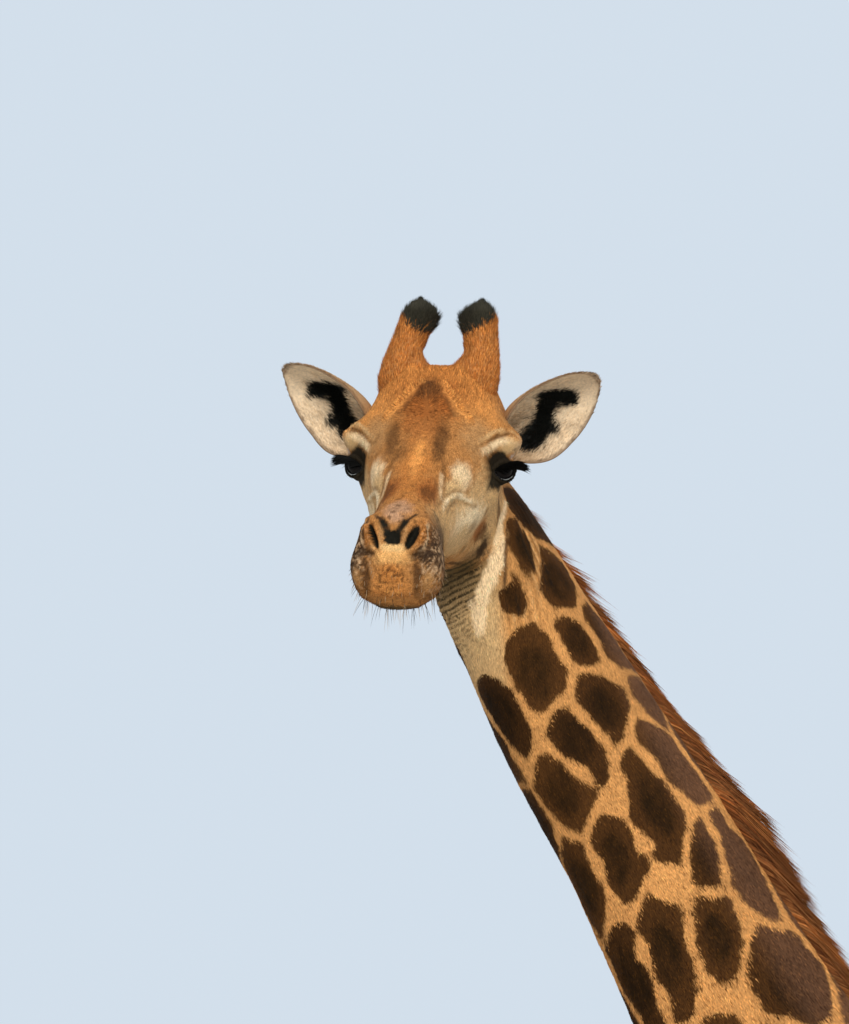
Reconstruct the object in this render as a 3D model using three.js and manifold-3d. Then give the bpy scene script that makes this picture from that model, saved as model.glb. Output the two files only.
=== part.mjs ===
// A standing adult giraffe as a still, life-size museum model.
// Units are millimetres and +Z is up. The trunk lies along X and the animal walks towards -X; the neck
// rises forwards, and the head is turned to the animal's left, so that it looks along -Y.
// The four hooves stand on the plane z = 0, and the origin is the middle of the model's box on that plane.
//
// Every form is a loft: rings of a rounded section set along a line. A ring has a half width to each side,
// a reach up and a reach down. Named key rings give the anatomy, and a monotone cubic fills in between.
// The body is modelled whole and parted with thin cuts, so that neighbours never touch.

import * as THREE from "three";
import { mergeVertices } from "three/addons/utils/BufferGeometryUtils.js";
import Module from "manifold-3d";

const wasm = await Module();
wasm.setup();

// ---------------------------------------------------------------- driving dimensions

const GAP = 0.4; // clear space left between neighbouring pieces
const EYE_HEIGHT = 4080; // the middle of the eyes above the ground
const EYE_FORWARD = 1600; // the middle of the eyes ahead of the trunk's middle
const HEAD_ASIDE = 215; // how far the turned head reaches out to the animal's left
const HEAD_PITCH = 24; // degrees, the face dips below the horizon
const HEAD_YAW = 9; // degrees from straight left, back towards the way the animal walks
const HEAD_ROLL = 3; // degrees, the left ear sinks

const EYE_RADIUS = 23;
const EYE_SIDE = 107; // an eye's centre from the middle of the head

const ELBOW_CUT = 1585; // the height where a foreleg is parted from the trunk
const THIGH_CUT = { forward: -620, height: 1650, slope: 12 }; // the plane that parts the hind legs
const KNEE_CUT = 930;
const HOCK_CUT = 1010;
const CORONET = 92; // the top of the hooves

const DEGREE = Math.PI / 180;

// ---------------------------------------------------------------- small tools

// A point of the animal: ahead of the trunk's middle, to the animal's left, above the ground.
const place = (forward, left, height) => new THREE.Vector3(-forward, -left, height);

// A monotone cubic through (knots[i], values[i]).
function monotone(knots, values) {
  const last = knots.length - 1;
  const slope = knots.slice(1).map((knot, i) => (values[i + 1] - values[i]) / (knot - knots[i]));
  const tangent = values.map((_, i) => {
    if (i === 0) return slope[0];
    if (i === last) return slope[last - 1];
    const [before, after] = [slope[i - 1], slope[i]];
    return before * after <= 0 ? 0 : (2 * before * after) / (before + after);
  });
  return (at) => {
    let i = 0;
    while (i < last - 1 && at > knots[i + 1]) i += 1;
    const span = knots[i + 1] - knots[i];
    const t = (at - knots[i]) / span;
    const keep = (1 + 2 * t) * (1 - t) ** 2;
    const gain = t * t * (3 - 2 * t);
    return keep * values[i] + gain * values[i + 1]
      + span * t * (1 - t) * ((1 - t) * tangent[i] - t * tangent[i + 1]);
  };
}

// Key rings are plain objects of numbers that share their names; this sets steps - 1 rings between each pair.
function fillIn(keys, key, steps = 1) {
  const knots = keys.map((ring) => ring[key]);
  const names = Object.keys(keys[0]);
  const curves = names.map((name) => monotone(knots, keys.map((ring) => ring[name])));
  const stops = knots.flatMap((knot, i) => (i === 0 ? [knot] : Array.from({ length: steps },
    (_, j) => knots[i - 1] + ((knot - knots[i - 1]) * (j + 1)) / steps)));
  return stops.map((at) => Object.fromEntries(names.map((name, j) => [name, curves[j](at)])));
}

// Gives rows of numbers their names: table("z half", [[0, 5], [9, 4]]) is [{ z: 0, half: 5 }, { z: 9, half: 4 }].
function table(names, rows) {
  const labels = names.split(" ");
  return rows.map((row) => Object.fromEntries(labels.map((label, i) => [label, row[i]])));
}

const rounded = (value, square) => Math.sign(value) * Math.abs(value) ** (2 / square);

// A closed surface through rings. Each ring has a centre, unit vectors side and up, the half width,
// and its reach above and below the centre; square is 2 for an ellipse and more for a boxier section.
// taper widens the section towards its top, and grow makes the whole form that much fatter.
function loft(rings, segments, { forms = [], grow = 0 } = {}) {
  const points = [];
  const faces = [];
  for (const { centre, side, up, half, above, below, square = 2, taper = 0 } of rings) {
    for (let i = 0; i < segments; i += 1) {
      const turn = (2 * Math.PI * i) / segments;
      const rise = rounded(Math.sin(turn), square);
      const out = rounded(Math.cos(turn), square) * (1 + taper * rise);
      const reach = (rise > 0 ? above : below) + grow;
      points.push(centre.clone().addScaledVector(side, out * (half + grow)).addScaledVector(up, rise * reach));
    }
  }
  const ring = (r, i) => r * segments + (i % segments);
  for (let r = 0; r + 1 < rings.length; r += 1) {
    for (let i = 0; i < segments; i += 1) {
      const [a, b, c, d] = [ring(r, i), ring(r, i + 1), ring(r + 1, i + 1), ring(r + 1, i)];
      const across = points[a].distanceTo(points[c]) > points[b].distanceTo(points[d]) + 1e-6;
      faces.push(...(across ? [a, b, d, b, c, d] : [a, b, c, a, c, d]));
    }
  }
  const ends = [[0, 1], [rings.length - 1, rings.length - 2]];
  ends.forEach(([end, next], which) => {
    const outward = rings[end].centre.clone().sub(rings[next].centre).normalize();
    points.push(rings[end].centre.clone().addScaledVector(outward, 0.5 + grow));
    for (let i = 0; i < segments; i += 1) {
      const pair = [ring(end, i), ring(end, i + 1)];
      faces.push(points.length - 1, ...(which === 0 ? pair.reverse() : pair));
    }
  });
  const shaped = points.map((point) => swell(point, forms));
  return solid(new THREE.BufferGeometry().setFromPoints(shaped).setIndex(faces));
}

// Forms are soft swellings or hollows: each pushes the points round `at`, fading over its reach along X, Y, Z.
function swell(point, forms) {
  const moved = point.clone();
  for (const { at, reach, push } of forms) {
    const far = ["x", "y", "z"].reduce((sum, axis, i) => sum + ((point[axis] - at[i]) / reach[i]) ** 2, 0);
    moved.addScaledVector(new THREE.Vector3(...push), Math.exp(-far));
  }
  return moved;
}

// A three.js geometry as a manifold-3d solid whose faces point out.
function solid(geometry) {
  geometry.deleteAttribute("normal");
  geometry.deleteAttribute("uv");
  const merged = mergeVertices(geometry, 1e-3);
  const position = merged.getAttribute("position");
  const index = merged.index.array;
  const [a, b, c] = [0, 1, 2].map(() => new THREE.Vector3());
  let volume = 0;
  for (let i = 0; i < index.length; i += 3) {
    a.fromBufferAttribute(position, index[i]);
    b.fromBufferAttribute(position, index[i + 1]);
    c.fromBufferAttribute(position, index[i + 2]);
    volume += a.dot(b.cross(c));
  }
  const triVerts = new Uint32Array(index);
  if (volume < 0) triVerts.reverse();
  return new wasm.Manifold(new wasm.Mesh({ numProp: 3, vertProperties: position.array, triVerts }));
}

function ellipsoid(centre, radii, detail = 10) {
  const ball = new THREE.SphereGeometry(1, 2 * detail, detail);
  ball.scale(...radii);
  ball.translate(...centre);
  return solid(ball);
}

const union = (solids) => solids.reduce((all, one) => all.add(one));

// Keeps the side of a plane that its normal points away from, stopping half a gap short of it.
function behind(body, normal, point) {
  const away = normal.clone().negate();
  return body.trimByPlane(away.toArray(), away.dot(point) + GAP / 2);
}
const ahead = (body, normal, point) => behind(body, normal.clone().negate(), point);

// ---------------------------------------------------------------- the head, in its own frame

// In the head's frame X runs from the eyes to the nostrils, Y to the animal's left and Z to the crown.
// The middle of the eyes is the origin.
const headFrame = (() => {
  const [pitch, yaw, roll] = [HEAD_PITCH * DEGREE, HEAD_YAW * DEGREE, HEAD_ROLL * DEGREE];
  const nose = new THREE.Vector3(
    -Math.cos(pitch) * Math.sin(yaw), -Math.cos(pitch) * Math.cos(yaw), -Math.sin(pitch));
  const level = new THREE.Vector3(Math.cos(yaw), -Math.sin(yaw), 0);
  const crown = nose.clone().cross(level);
  const left = level.clone().multiplyScalar(Math.cos(roll)).addScaledVector(crown, -Math.sin(roll));
  const top = nose.clone().cross(left);
  const matrix = new THREE.Matrix4().makeBasis(nose, left, top);
  return matrix.setPosition(place(EYE_FORWARD, HEAD_ASIDE, EYE_HEIGHT));
})();

const inWorld = (headSolid) => headSolid.transform(headFrame.elements);
const headPoint = (x, y, z) => new THREE.Vector3(x, y, z).applyMatrix4(headFrame);

const SKULL = table("x top waist bottom half square taper", [
  [-228, 10, -30, -60, 24, 2, 0],
  [-212, 54, -25, -98, 60, 2, 0],
  [-180, 92, -15, -136, 82, 2.1, 0.04],
  [-140, 122, -5, -160, 92, 2.3, 0.12],
  [-95, 136, 5, -172, 98, 2.5, 0.14],
  [-50, 131, 10, -170, 100, 2.5, 0.1],
  [-10, 118, 12, -160, 99, 2.4, 0.06],
  [40, 98, 6, -146, 93, 2.3, 0.02],
  [90, 78, 2, -132, 82, 2.3, -0.04],
  [140, 62, -4, -116, 70, 2.3, -0.1],
  [190, 52, -10, -102, 62, 2.3, -0.14],
  [240, 45, -18, -94, 58, 2.3, -0.14],
  [285, 41, -30, -98, 61, 2.4, -0.1],
  [320, 36, -42, -107, 68, 2.4, -0.06],
  [348, 26, -50, -115, 74, 2.4, -0.06],
  [372, 8, -55, -112, 70, 2.3, -0.06],
  [387, -14, -58, -101, 56, 2.2, 0],
  [395, -40, -60, -84, 32, 2, 0],
]);

// The swellings of one side: bases of the horn and the ear, brow, lower rim of the socket, cheekbone,
// jaw muscle, hollow of the cheek, wing of the nostril and corner of the lips.
const FACE = [
  { at: [-92, 62, 112], reach: [44, 34, 60], push: [-4, 4, 20] },
  { at: [-118, 92, 20], reach: [40, 40, 52], push: [0, 16, 4] },
  { at: [-8, 96, 46], reach: [52, 44, 30], push: [4, 22, 9] },
  { at: [14, 92, -34], reach: [52, 40, 22], push: [2, 15, -3] },
  { at: [72, 78, -14], reach: [60, 30, 26], push: [0, 13, 2] },
  { at: [-64, 84, -92], reach: [62, 44, 66], push: [0, 12, -3] },
  { at: [128, 72, -70], reach: [64, 34, 34], push: [0, -9, 0] },
  { at: [343, 40, 20], reach: [32, 30, 26], push: [3, 9, 9] },
  { at: [300, 70, -66], reach: [40, 30, 26], push: [0, 6, 0] },
];
// On the midline: the rounded knob of the forehead, the dip of the bridge and the chin.
const MIDDLE = [
  { at: [6, 0, 116], reach: [42, 40, 40], push: [3, 0, 15] },
  { at: [120, 0, 66], reach: [60, 34, 26], push: [0, 0, -4] },
  { at: [352, 0, -112], reach: [34, 44, 30], push: [4, 0, -4] },
];
const mirrored = (form) => [form, {
  ...form,
  at: form.at.map((value, i) => (i === 1 ? -value : value)),
  push: form.push.map((value, i) => (i === 1 ? -value : value)),
}];
const HEAD_FORMS = [...FACE.flatMap(mirrored), ...MIDDLE];

function skull(grow = 0) {
  const rings = fillIn(SKULL, "x", 2).map(({ x, top, waist, bottom, ...rest }) => ({
    centre: new THREE.Vector3(x, 0, waist),
    side: new THREE.Vector3(0, 1, 0),
    up: new THREE.Vector3(0, 0, 1),
    above: top - waist,
    below: waist - bottom,
    ...rest,
  }));
  return loft(rings, 22, { forms: HEAD_FORMS, grow });
}

function nostril(sign) {
  const slit = new THREE.SphereGeometry(1, 10, 6);
  slit.scale(19, 5, 12);
  slit.rotateX(-sign * 28 * DEGREE);
  slit.rotateY(30 * DEGREE);
  slit.translate(364, sign * 31, 16);
  return solid(slit);
}

const HORN_LEAN = 15; // both horns lean a little to the animal's left, most at the tip
const HORN = table("z x y round", [
  [92, -84, 63, 40],
  [112, -92, 63, 35],
  [130, -101, 62, 31],
  [152, -114, 59, 29],
  [174, -127, 54, 29],
  [190, -136, 49, 31],
  [204, -144, 46, 30],
  [216, -151, 46, 22],
  [225, -156, 48, 12],
  [231, -159, 49, 3],
]);

function ossicone(sign) {
  const rings = fillIn(HORN, "z").map(({ z, x, y, round }) => ({
    centre: new THREE.Vector3(x, sign * y + HORN_LEAN * Math.max(0, (z - 110) / 120), z),
    side: new THREE.Vector3(0, 1, 0),
    up: new THREE.Vector3(1, 0, 0.55).normalize(),
    half: round,
    above: round,
    below: round,
  }));
  return loft(rings, 10);
}

const EAR = { root: [-118, 88, 8], tip: [-112, 249, 130], width: 54, thick: 5, droop: 0.2 };
const EAR_LEAF = monotone([0, 0.15, 0.3, 0.45, 0.65, 0.82, 0.94, 1], [0.5, 0.72, 0.92, 1, 0.93, 0.68, 0.4, 0.16]);
const EAR_CURL = monotone([0, 0.2, 0.5, 1], [140, 112, 74, 38]);

// A leaf bent round its own axis, with its hollow side turned forwards.
function ear(sign) {
  const root = new THREE.Vector3(...EAR.root);
  const axis = new THREE.Vector3(...EAR.tip).sub(root);
  const along = axis.clone().normalize();
  const forward = new THREE.Vector3(0.93, 0.3, -0.1);
  forward.addScaledVector(along, -forward.dot(along)).normalize();
  const across = along.clone().cross(forward);
  const [lengths, widths] = [11, 7];
  const skin = [[], []];
  for (let i = 0; i < lengths; i += 1) {
    const u = i / (lengths - 1);
    const curl = EAR_CURL(u) * DEGREE;
    const bend = EAR.width * EAR_LEAF(u) / Math.sin(Math.min(curl, 90 * DEGREE));
    for (let j = 0; j < widths; j += 1) {
      const v = (2 * j) / (widths - 1) - 1;
      const turn = v * curl;
      const outward = across.clone().multiplyScalar(Math.sin(turn)).addScaledVector(forward, -Math.cos(turn));
      const middle = root.clone().addScaledVector(axis, u).addScaledVector(forward, 0.55 * bend)
        .addScaledVector(outward, bend * (1 + EAR.droop * v));
      const thick = EAR.thick * (1.15 - 0.5 * Math.abs(v)) / 2;
      skin[0].push(middle.clone().addScaledVector(outward, thick));
      skin[1].push(middle.clone().addScaledVector(outward, -thick));
    }
  }
  const points = [...skin[0], ...skin[1]].map((p) => new THREE.Vector3(p.x, sign * p.y, p.z));
  const at = (layer, i, j) => layer * lengths * widths + i * widths + j;
  const faces = [];
  const quad = (a, b, c, d) => faces.push(a, b, c, a, c, d);
  for (let i = 0; i + 1 < lengths; i += 1) {
    for (let j = 0; j + 1 < widths; j += 1) {
      quad(at(0, i, j), at(0, i, j + 1), at(0, i + 1, j + 1), at(0, i + 1, j));
      quad(at(1, i, j), at(1, i + 1, j), at(1, i + 1, j + 1), at(1, i, j + 1));
    }
    quad(at(0, i, 0), at(0, i + 1, 0), at(1, i + 1, 0), at(1, i, 0));
    quad(at(0, i, widths - 1), at(1, i, widths - 1), at(1, i + 1, widths - 1), at(0, i + 1, widths - 1));
  }
  for (let j = 0; j + 1 < widths; j += 1) {
    quad(at(0, 0, j), at(1, 0, j), at(1, 0, j + 1), at(0, 0, j + 1));
    quad(at(0, lengths - 1, j), at(0, lengths - 1, j + 1), at(1, lengths - 1, j + 1), at(1, lengths - 1, j));
  }
  return solid(new THREE.BufferGeometry().setFromPoints(points).setIndex(faces));
}

// ---------------------------------------------------------------- the neck and its mane

// The spine's line, from inside the skull to inside the chest. deep is the half depth from crest to throat.
// The first rings turn their crest away from the face; from the fourth on it lies in the trunk's own plane.
const NECK = table("forward left height deep half crestForward crestLeft crestUp", [
  [1572, 62, 4082, 84, 74, -0.1, -1, 0.45],
  [1524, 24, 4010, 96, 84, -0.25, -0.95, 0.45],
  [1474, 6, 3915, 107, 93, -0.5, -0.8, 0.45],
  [1422, 0, 3800, 124, 100, -0.74, -0.5, 0.48],
  [1355, 0, 3673, 131, 98, -0.86, -0.18, 0.5],
  [1262, 0, 3517, 138, 97, -0.87, 0, 0.5],
  [1114, 0, 3236, 162, 108, -0.85, 0, 0.53],
  [960, 0, 2985, 192, 128, -0.82, 0, 0.57],
  [790, 0, 2735, 240, 155, -0.78, 0, 0.62],
  [610, 0, 2505, 305, 190, -0.72, 0, 0.69],
  [440, 0, 2310, 335, 215, -0.66, 0, 0.75],
  [280, 0, 2170, 300, 190, -0.6, 0, 0.8],
]);

// Rings of the neck with their axes squared up to the spine.
function neckRings() {
  const keys = NECK.map((ring) => ({ ...ring }));
  keys.forEach((ring, i) => {
    const before = keys[Math.max(i - 1, 0)];
    const step = place(ring.forward, ring.left, ring.height)
      .distanceTo(place(before.forward, before.left, before.height));
    ring.down = i === 0 ? 0 : before.down + step;
  });
  const rings = fillIn(keys, "down", 2);
  const centres = rings.map((ring) => place(ring.forward, ring.left, ring.height));
  return rings.map((ring, i) => {
    const along = centres[Math.min(i + 1, rings.length - 1)].clone().sub(centres[Math.max(i - 1, 0)]).normalize();
    const up = place(ring.crestForward, ring.crestLeft, ring.crestUp);
    up.addScaledVector(along, -up.dot(along)).normalize();
    const side = up.clone().cross(along).normalize();
    return {
      centre: centres[i], along, up, side, half: ring.half, above: ring.deep, below: ring.deep,
      square: 2.1, taper: -0.08, down: ring.down,
    };
  });
}

const MANE = { half: 15, sunk: 30, from: 30, to: 1830 };
const MANE_HEIGHT = monotone([30, 220, 700, 1400, 1680, 1830], [14, 34, 37, 40, 30, 8]);

function maneRings() {
  return neckRings()
    .filter(({ down }) => down >= MANE.from && down <= MANE.to)
    .map(({ centre, up, side, above, down }) => ({
      centre: centre.clone().addScaledVector(up, above),
      side,
      up,
      half: MANE.half,
      above: MANE_HEIGHT(down),
      below: MANE.sunk,
      square: 2.4,
      taper: -0.35,
    }));
}

// ---------------------------------------------------------------- trunk, tail and legs

const TRUNK = table("forward top waist bottom half square", [
  [-862, 2070, 2030, 1990, 22, 2],
  [-846, 2140, 2025, 1915, 100, 2],
  [-800, 2205, 2025, 1850, 168, 2.1],
  [-715, 2272, 2030, 1800, 222, 2.2],
  [-600, 2330, 2040, 1775, 252, 2.2],
  [-450, 2382, 2055, 1755, 272, 2.2],
  [-260, 2435, 2070, 1715, 305, 2.2],
  [-60, 2492, 2070, 1665, 332, 2.2],
  [140, 2585, 2080, 1635, 328, 2.2],
  [280, 2672, 2095, 1618, 302, 2.1],
  [390, 2705, 2105, 1612, 284, 2],
  [500, 2660, 2110, 1630, 266, 2],
  [600, 2540, 2105, 1680, 240, 2],
  [665, 2430, 2095, 1750, 207, 2],
  [712, 2335, 2075, 1845, 152, 2],
  [738, 2240, 2060, 1930, 92, 2],
  [749, 2120, 2055, 2000, 30, 2],
]);

function trunkLoft(grow) {
  const rings = fillIn(TRUNK, "forward").map(({ forward, top, waist, bottom, half, square }) => ({
    centre: place(forward, 0, waist),
    side: new THREE.Vector3(0, 1, 0),
    up: new THREE.Vector3(0, 0, 1),
    half,
    above: top - waist,
    below: waist - bottom,
    square,
    taper: -0.06,
  }));
  return loft(rings, 20, { grow });
}

// A leg's rings: front and back are the reaches of the section from the leg's line.
const FORELEG = table("height forward left front back half", [
  [2470, 430, 84, 60, 110, 56],
  [2330, 448, 130, 130, 165, 96],
  [2090, 486, 170, 172, 195, 118],
  [1880, 480, 174, 154, 188, 106],
  [1720, 448, 166, 124, 162, 94],
  [1600, 438, 160, 104, 128, 83],
  [1400, 446, 155, 80, 80, 67],
  [1160, 452, 152, 65, 60, 54],
  [1010, 455, 150, 60, 55, 50],
  [910, 458, 150, 67, 57, 57],
  [840, 458, 150, 71, 60, 60],
  [765, 455, 150, 58, 56, 52],
  [680, 450, 150, 43, 47, 41],
  [500, 448, 150, 38, 43, 37],
  [310, 448, 150, 39, 46, 39],
  [225, 450, 150, 48, 61, 49],
  [170, 456, 150, 48, 53, 50],
  [128, 468, 150, 48, 46, 50],
  [88, 482, 150, 60, 54, 62],
]);

const HINDLEG = table("height forward left front back half", [
  [2240, -600, 70, 110, 150, 66],
  [2140, -622, 112, 170, 190, 104],
  [1990, -625, 148, 222, 218, 124],
  [1860, -604, 158, 232, 232, 124],
  [1730, -582, 162, 214, 232, 112],
  [1600, -580, 160, 176, 200, 97],
  [1400, -612, 156, 108, 140, 74],
  [1210, -658, 153, 75, 102, 57],
  [1070, -698, 151, 60, 90, 49],
  [970, -732, 150, 63, 96, 52],
  [900, -742, 150, 66, 82, 54],
  [820, -744, 150, 58, 62, 48],
  [720, -740, 150, 47, 51, 42],
  [500, -733, 150, 42, 47, 39],
  [310, -726, 150, 42, 49, 40],
  [225, -720, 150, 49, 63, 50],
  [170, -712, 150, 48, 55, 50],
  [128, -700, 150, 48, 47, 50],
  [88, -688, 150, 58, 53, 61],
]);

// Each foot stands a little off its pair, so that the animal looks at ease.
const STANCE = [
  { name: "foreleg_left", keys: FORELEG, sign: 1, step: 70 },
  { name: "foreleg_right", keys: FORELEG, sign: -1, step: -45 },
  { name: "hindleg_left", keys: HINDLEG, sign: 1, step: -70 },
  { name: "hindleg_right", keys: HINDLEG, sign: -1, step: 60 },
];
const STEP_FROM = 1900; // above this height a leg isn't moved by its step

const stepAt = (leg, height) => leg.step * Math.max(0, 1 - height / STEP_FROM);

function legLoft(leg, grow) {
  const down = leg.keys.map((ring) => ({ ...ring, height: -ring.height }));
  const rings = fillIn(down, "height").map(({ height, forward, left, front, back, half }) => ({
    centre: place(forward + stepAt(leg, -height), leg.sign * left, -height),
    side: new THREE.Vector3(0, 1, 0),
    up: new THREE.Vector3(-1, 0, 0),
    half,
    above: front,
    below: back,
    square: 2.15,
  }));
  return loft(rings, 11, { grow });
}

const HOOF = table("height ahead front back half", [
  [CORONET - GAP, 4, 66, 56, 63],
  [70, 8, 84, 62, 68],
  [35, 14, 100, 70, 73],
  [0, 20, 112, 76, 77],
]);
const CLEFT = { width: 9, length: 92, height: 64, heel: 34 };

// A hoof has two claws, parted by a cleft at the toe and a shorter one at the heel.
function hoof(leg) {
  const foot = leg.keys.at(-1);
  const middle = foot.forward + stepAt(leg, 0);
  const left = leg.sign * foot.left;
  const rings = HOOF.map(({ height, ahead: forward, front, back, half }) => ({
    centre: place(middle + forward, left, height),
    side: new THREE.Vector3(0, 1, 0),
    up: new THREE.Vector3(-1, 0, 0),
    half,
    above: front,
    below: back,
    square: 2.5,
  }));
  const claws = loft(rings, 16);
  const floor = new THREE.Vector3(0, 0, 1);
  const toe = new THREE.BoxGeometry(CLEFT.length, CLEFT.width, 2 * CLEFT.height);
  toe.translate(...place(middle + 52 + CLEFT.length / 2, left, 0));
  const heel = new THREE.BoxGeometry(CLEFT.heel, CLEFT.width, CLEFT.height);
  heel.translate(...place(middle - 50 - CLEFT.heel / 2, left, 0));
  return claws.subtract(solid(toe)).subtract(solid(heel)).trimByPlane(floor.toArray(), 0);
}

const TAIL = table("height forward half front back", [
  [2160, -800, 46, 46, 46],
  [2110, -868, 38, 38, 38],
  [2020, -912, 29, 29, 29],
  [1800, -938, 20, 20, 20],
  [1500, -944, 15, 15, 15],
  [1240, -940, 13, 13, 13],
]);
const TUFT = table("height forward half front back", [
  [1300, -941, 16, 16, 16],
  [1200, -940, 26, 26, 26],
  [1040, -938, 36, 38, 38],
  [880, -936, 38, 42, 40],
  [760, -935, 30, 34, 32],
  [680, -934, 16, 18, 18],
  [640, -934, 4, 5, 5],
]);

function tailLoft(keys, segments, grow = 0) {
  const down = keys.map((ring) => ({ ...ring, height: -ring.height }));
  const rings = fillIn(down, "height", 2).map(({ height, forward, half, front, back }) => ({
    centre: place(forward, 0, -height),
    side: new THREE.Vector3(0, 1, 0),
    up: new THREE.Vector3(-1, 0, 0),
    half,
    above: front,
    below: back,
  }));
  return loft(rings, segments, { grow });
}

// ---------------------------------------------------------------- joining and parting

// The body as one solid, from the neck's top to the coronets, without the head.
const bodyWithoutHead = (grow) => union([
  trunkLoft(grow),
  loft(neckRings(), 20, { grow }),
  ...STANCE.map((leg) => legLoft(leg, grow)),
]);

function buildPieces() {
  const pieces = {};
  const neck = neckRings();
  const whole = bodyWithoutHead(0).add(inWorld(skull()));

  // Thin cuts across the neck: under the skull, at two places along it, and at its root.
  const nearest = (down) => neck.reduce((best, ring) =>
    (Math.abs(ring.down - down) < Math.abs(best.down - down) ? ring : best));
  const [nape, high, low, root] = [95, 620, 1160, 1700].map(nearest);
  const napeNormal = nape.along.clone().add(new THREE.Vector3(0, 0.25, 0)).normalize();
  const cutHead = behind(whole, napeNormal, nape.centre);
  const belowHead = ahead(whole, napeNormal, nape.centre);
  pieces.neck_upper = behind(belowHead, high.along, high.centre);
  const belowHigh = ahead(belowHead, high.along, high.centre);
  pieces.neck_middle = behind(belowHigh, low.along, low.centre);
  const belowLow = ahead(belowHigh, low.along, low.centre);
  pieces.neck_lower = behind(belowLow, root.along, root.centre);
  const body = ahead(belowLow, root.along, root.centre);

  // The hind legs part from the trunk on a plane that rises to the rear, the forelegs on a level one.
  const level = new THREE.Vector3(0, 0, 1);
  const elbow = new THREE.Vector3(0, 0, ELBOW_CUT);
  const thighPoint = place(THIGH_CUT.forward, 0, THIGH_CUT.height);
  const thighNormal = new THREE.Vector3(-Math.sin(THIGH_CUT.slope * DEGREE), 0, Math.cos(THIGH_CUT.slope * DEGREE));
  const midway = new THREE.Vector3(1, 0, 0);
  const front = body.trimByPlane([-1, 0, 0], 0);
  const rear = body.trimByPlane([1, 0, 0], 0);
  const foreParts = behind(front, level, elbow).decompose();
  const hindParts = behind(rear, thighNormal, thighPoint).decompose();
  pieces.trunk = ahead(front, level, elbow).add(ahead(rear, thighNormal, thighPoint));

  const leftOf = (part) => (part.boundingBox().min[1] + part.boundingBox().max[1]) / 2 < 0;
  for (const leg of STANCE) {
    const fore = leg.keys === FORELEG;
    const parts = fore ? foreParts : hindParts;
    const limb = parts.find((part) => leftOf(part) === (leg.sign > 0));
    const joint = new THREE.Vector3(0, 0, fore ? KNEE_CUT : HOCK_CUT);
    const coronet = new THREE.Vector3(0, 0, CORONET + GAP / 2);
    pieces[`${leg.name}_upper`] = ahead(limb, level, joint);
    pieces[`${leg.name}_lower`] = ahead(behind(limb, level, joint), level, coronet);
    pieces[`hoof_${leg.name.replace("leg", "")}`] = hoof(leg);
  }

  // Eyes, with a socket cut for each; ears, horns, mane and tail are trimmed to the skin they grow from.
  const eyes = [1, -1].map((sign) => inWorld(ellipsoid([0, sign * EYE_SIDE, 0], [EYE_RADIUS, EYE_RADIUS, EYE_RADIUS], 8)));
  const socketSize = EYE_RADIUS + GAP + 0.6;
  const sockets = [1, -1].map((sign) => inWorld(ellipsoid([0, sign * EYE_SIDE, 0], [socketSize, socketSize, socketSize], 8)));
  const pits = [1, -1].map((sign) => inWorld(nostril(sign)));
  pieces.head = [...sockets, ...pits].reduce((rest, cut) => rest.subtract(cut), cutHead);
  [pieces.eye_left, pieces.eye_right] = eyes;

  // What grows from the skin is cut back to it, with the gap between.
  const skin = [bodyWithoutHead(GAP), inWorld(skull(GAP))];
  const trimmed = (piece, cuts = skin) => biggest(cuts.reduce((rest, one) => rest.subtract(one), piece));
  [["left", 1], ["right", -1]].forEach(([name, sign]) => {
    pieces[`ossicone_${name}`] = trimmed(inWorld(ossicone(sign)));
    pieces[`ear_${name}`] = trimmed(inWorld(ear(sign)));
  });
  pieces.mane = trimmed(loft(maneRings(), 6));
  pieces.tail_tuft = tailLoft(TUFT, 10);
  pieces.tail = trimmed(tailLoft(TAIL, 8), [...skin, tailLoft(TUFT, 10, GAP)]);
  return pieces;
}

// The largest body of a solid that a cut may have left in several.
function biggest(body) {
  return body.decompose().reduce((best, part) => (part.volume() > best.volume() ? part : best));
}

// ---------------------------------------------------------------- materials and the finished group

const COAT = new THREE.MeshStandardMaterial({ color: 0xb98a4e, roughness: 0.85, metalness: 0 });
const LEG_COAT = new THREE.MeshStandardMaterial({ color: 0xd2b284, roughness: 0.85, metalness: 0 });
const FACE_COAT = new THREE.MeshStandardMaterial({ color: 0xb9793c, roughness: 0.85, metalness: 0 });
const EAR_SKIN = new THREE.MeshStandardMaterial({ color: 0xcdb493, roughness: 0.85, metalness: 0 });
const HORN_COAT = new THREE.MeshStandardMaterial({ color: 0x9b5d28, roughness: 0.9, metalness: 0 });
const HAIR = new THREE.MeshStandardMaterial({ color: 0x6b3a1e, roughness: 0.8, metalness: 0 });
const TAIL_HAIR = new THREE.MeshStandardMaterial({ color: 0x17120f, roughness: 0.6, metalness: 0 });
const EYE = new THREE.MeshStandardMaterial({ color: 0x120c08, roughness: 0.1, metalness: 0 });
const HOOF_HORN = new THREE.MeshStandardMaterial({ color: 0x2e2620, roughness: 0.55, metalness: 0 });

function materialOf(name) {
  if (name.startsWith("hoof")) return HOOF_HORN;
  if (name.startsWith("eye")) return EYE;
  if (name.startsWith("ear")) return EAR_SKIN;
  if (name.startsWith("ossicone")) return HORN_COAT;
  if (name === "tail_tuft") return TAIL_HAIR;
  if (name === "mane") return HAIR;
  if (name === "head") return FACE_COAT;
  return name.includes("leg") ? LEG_COAT : COAT;
}

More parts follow.
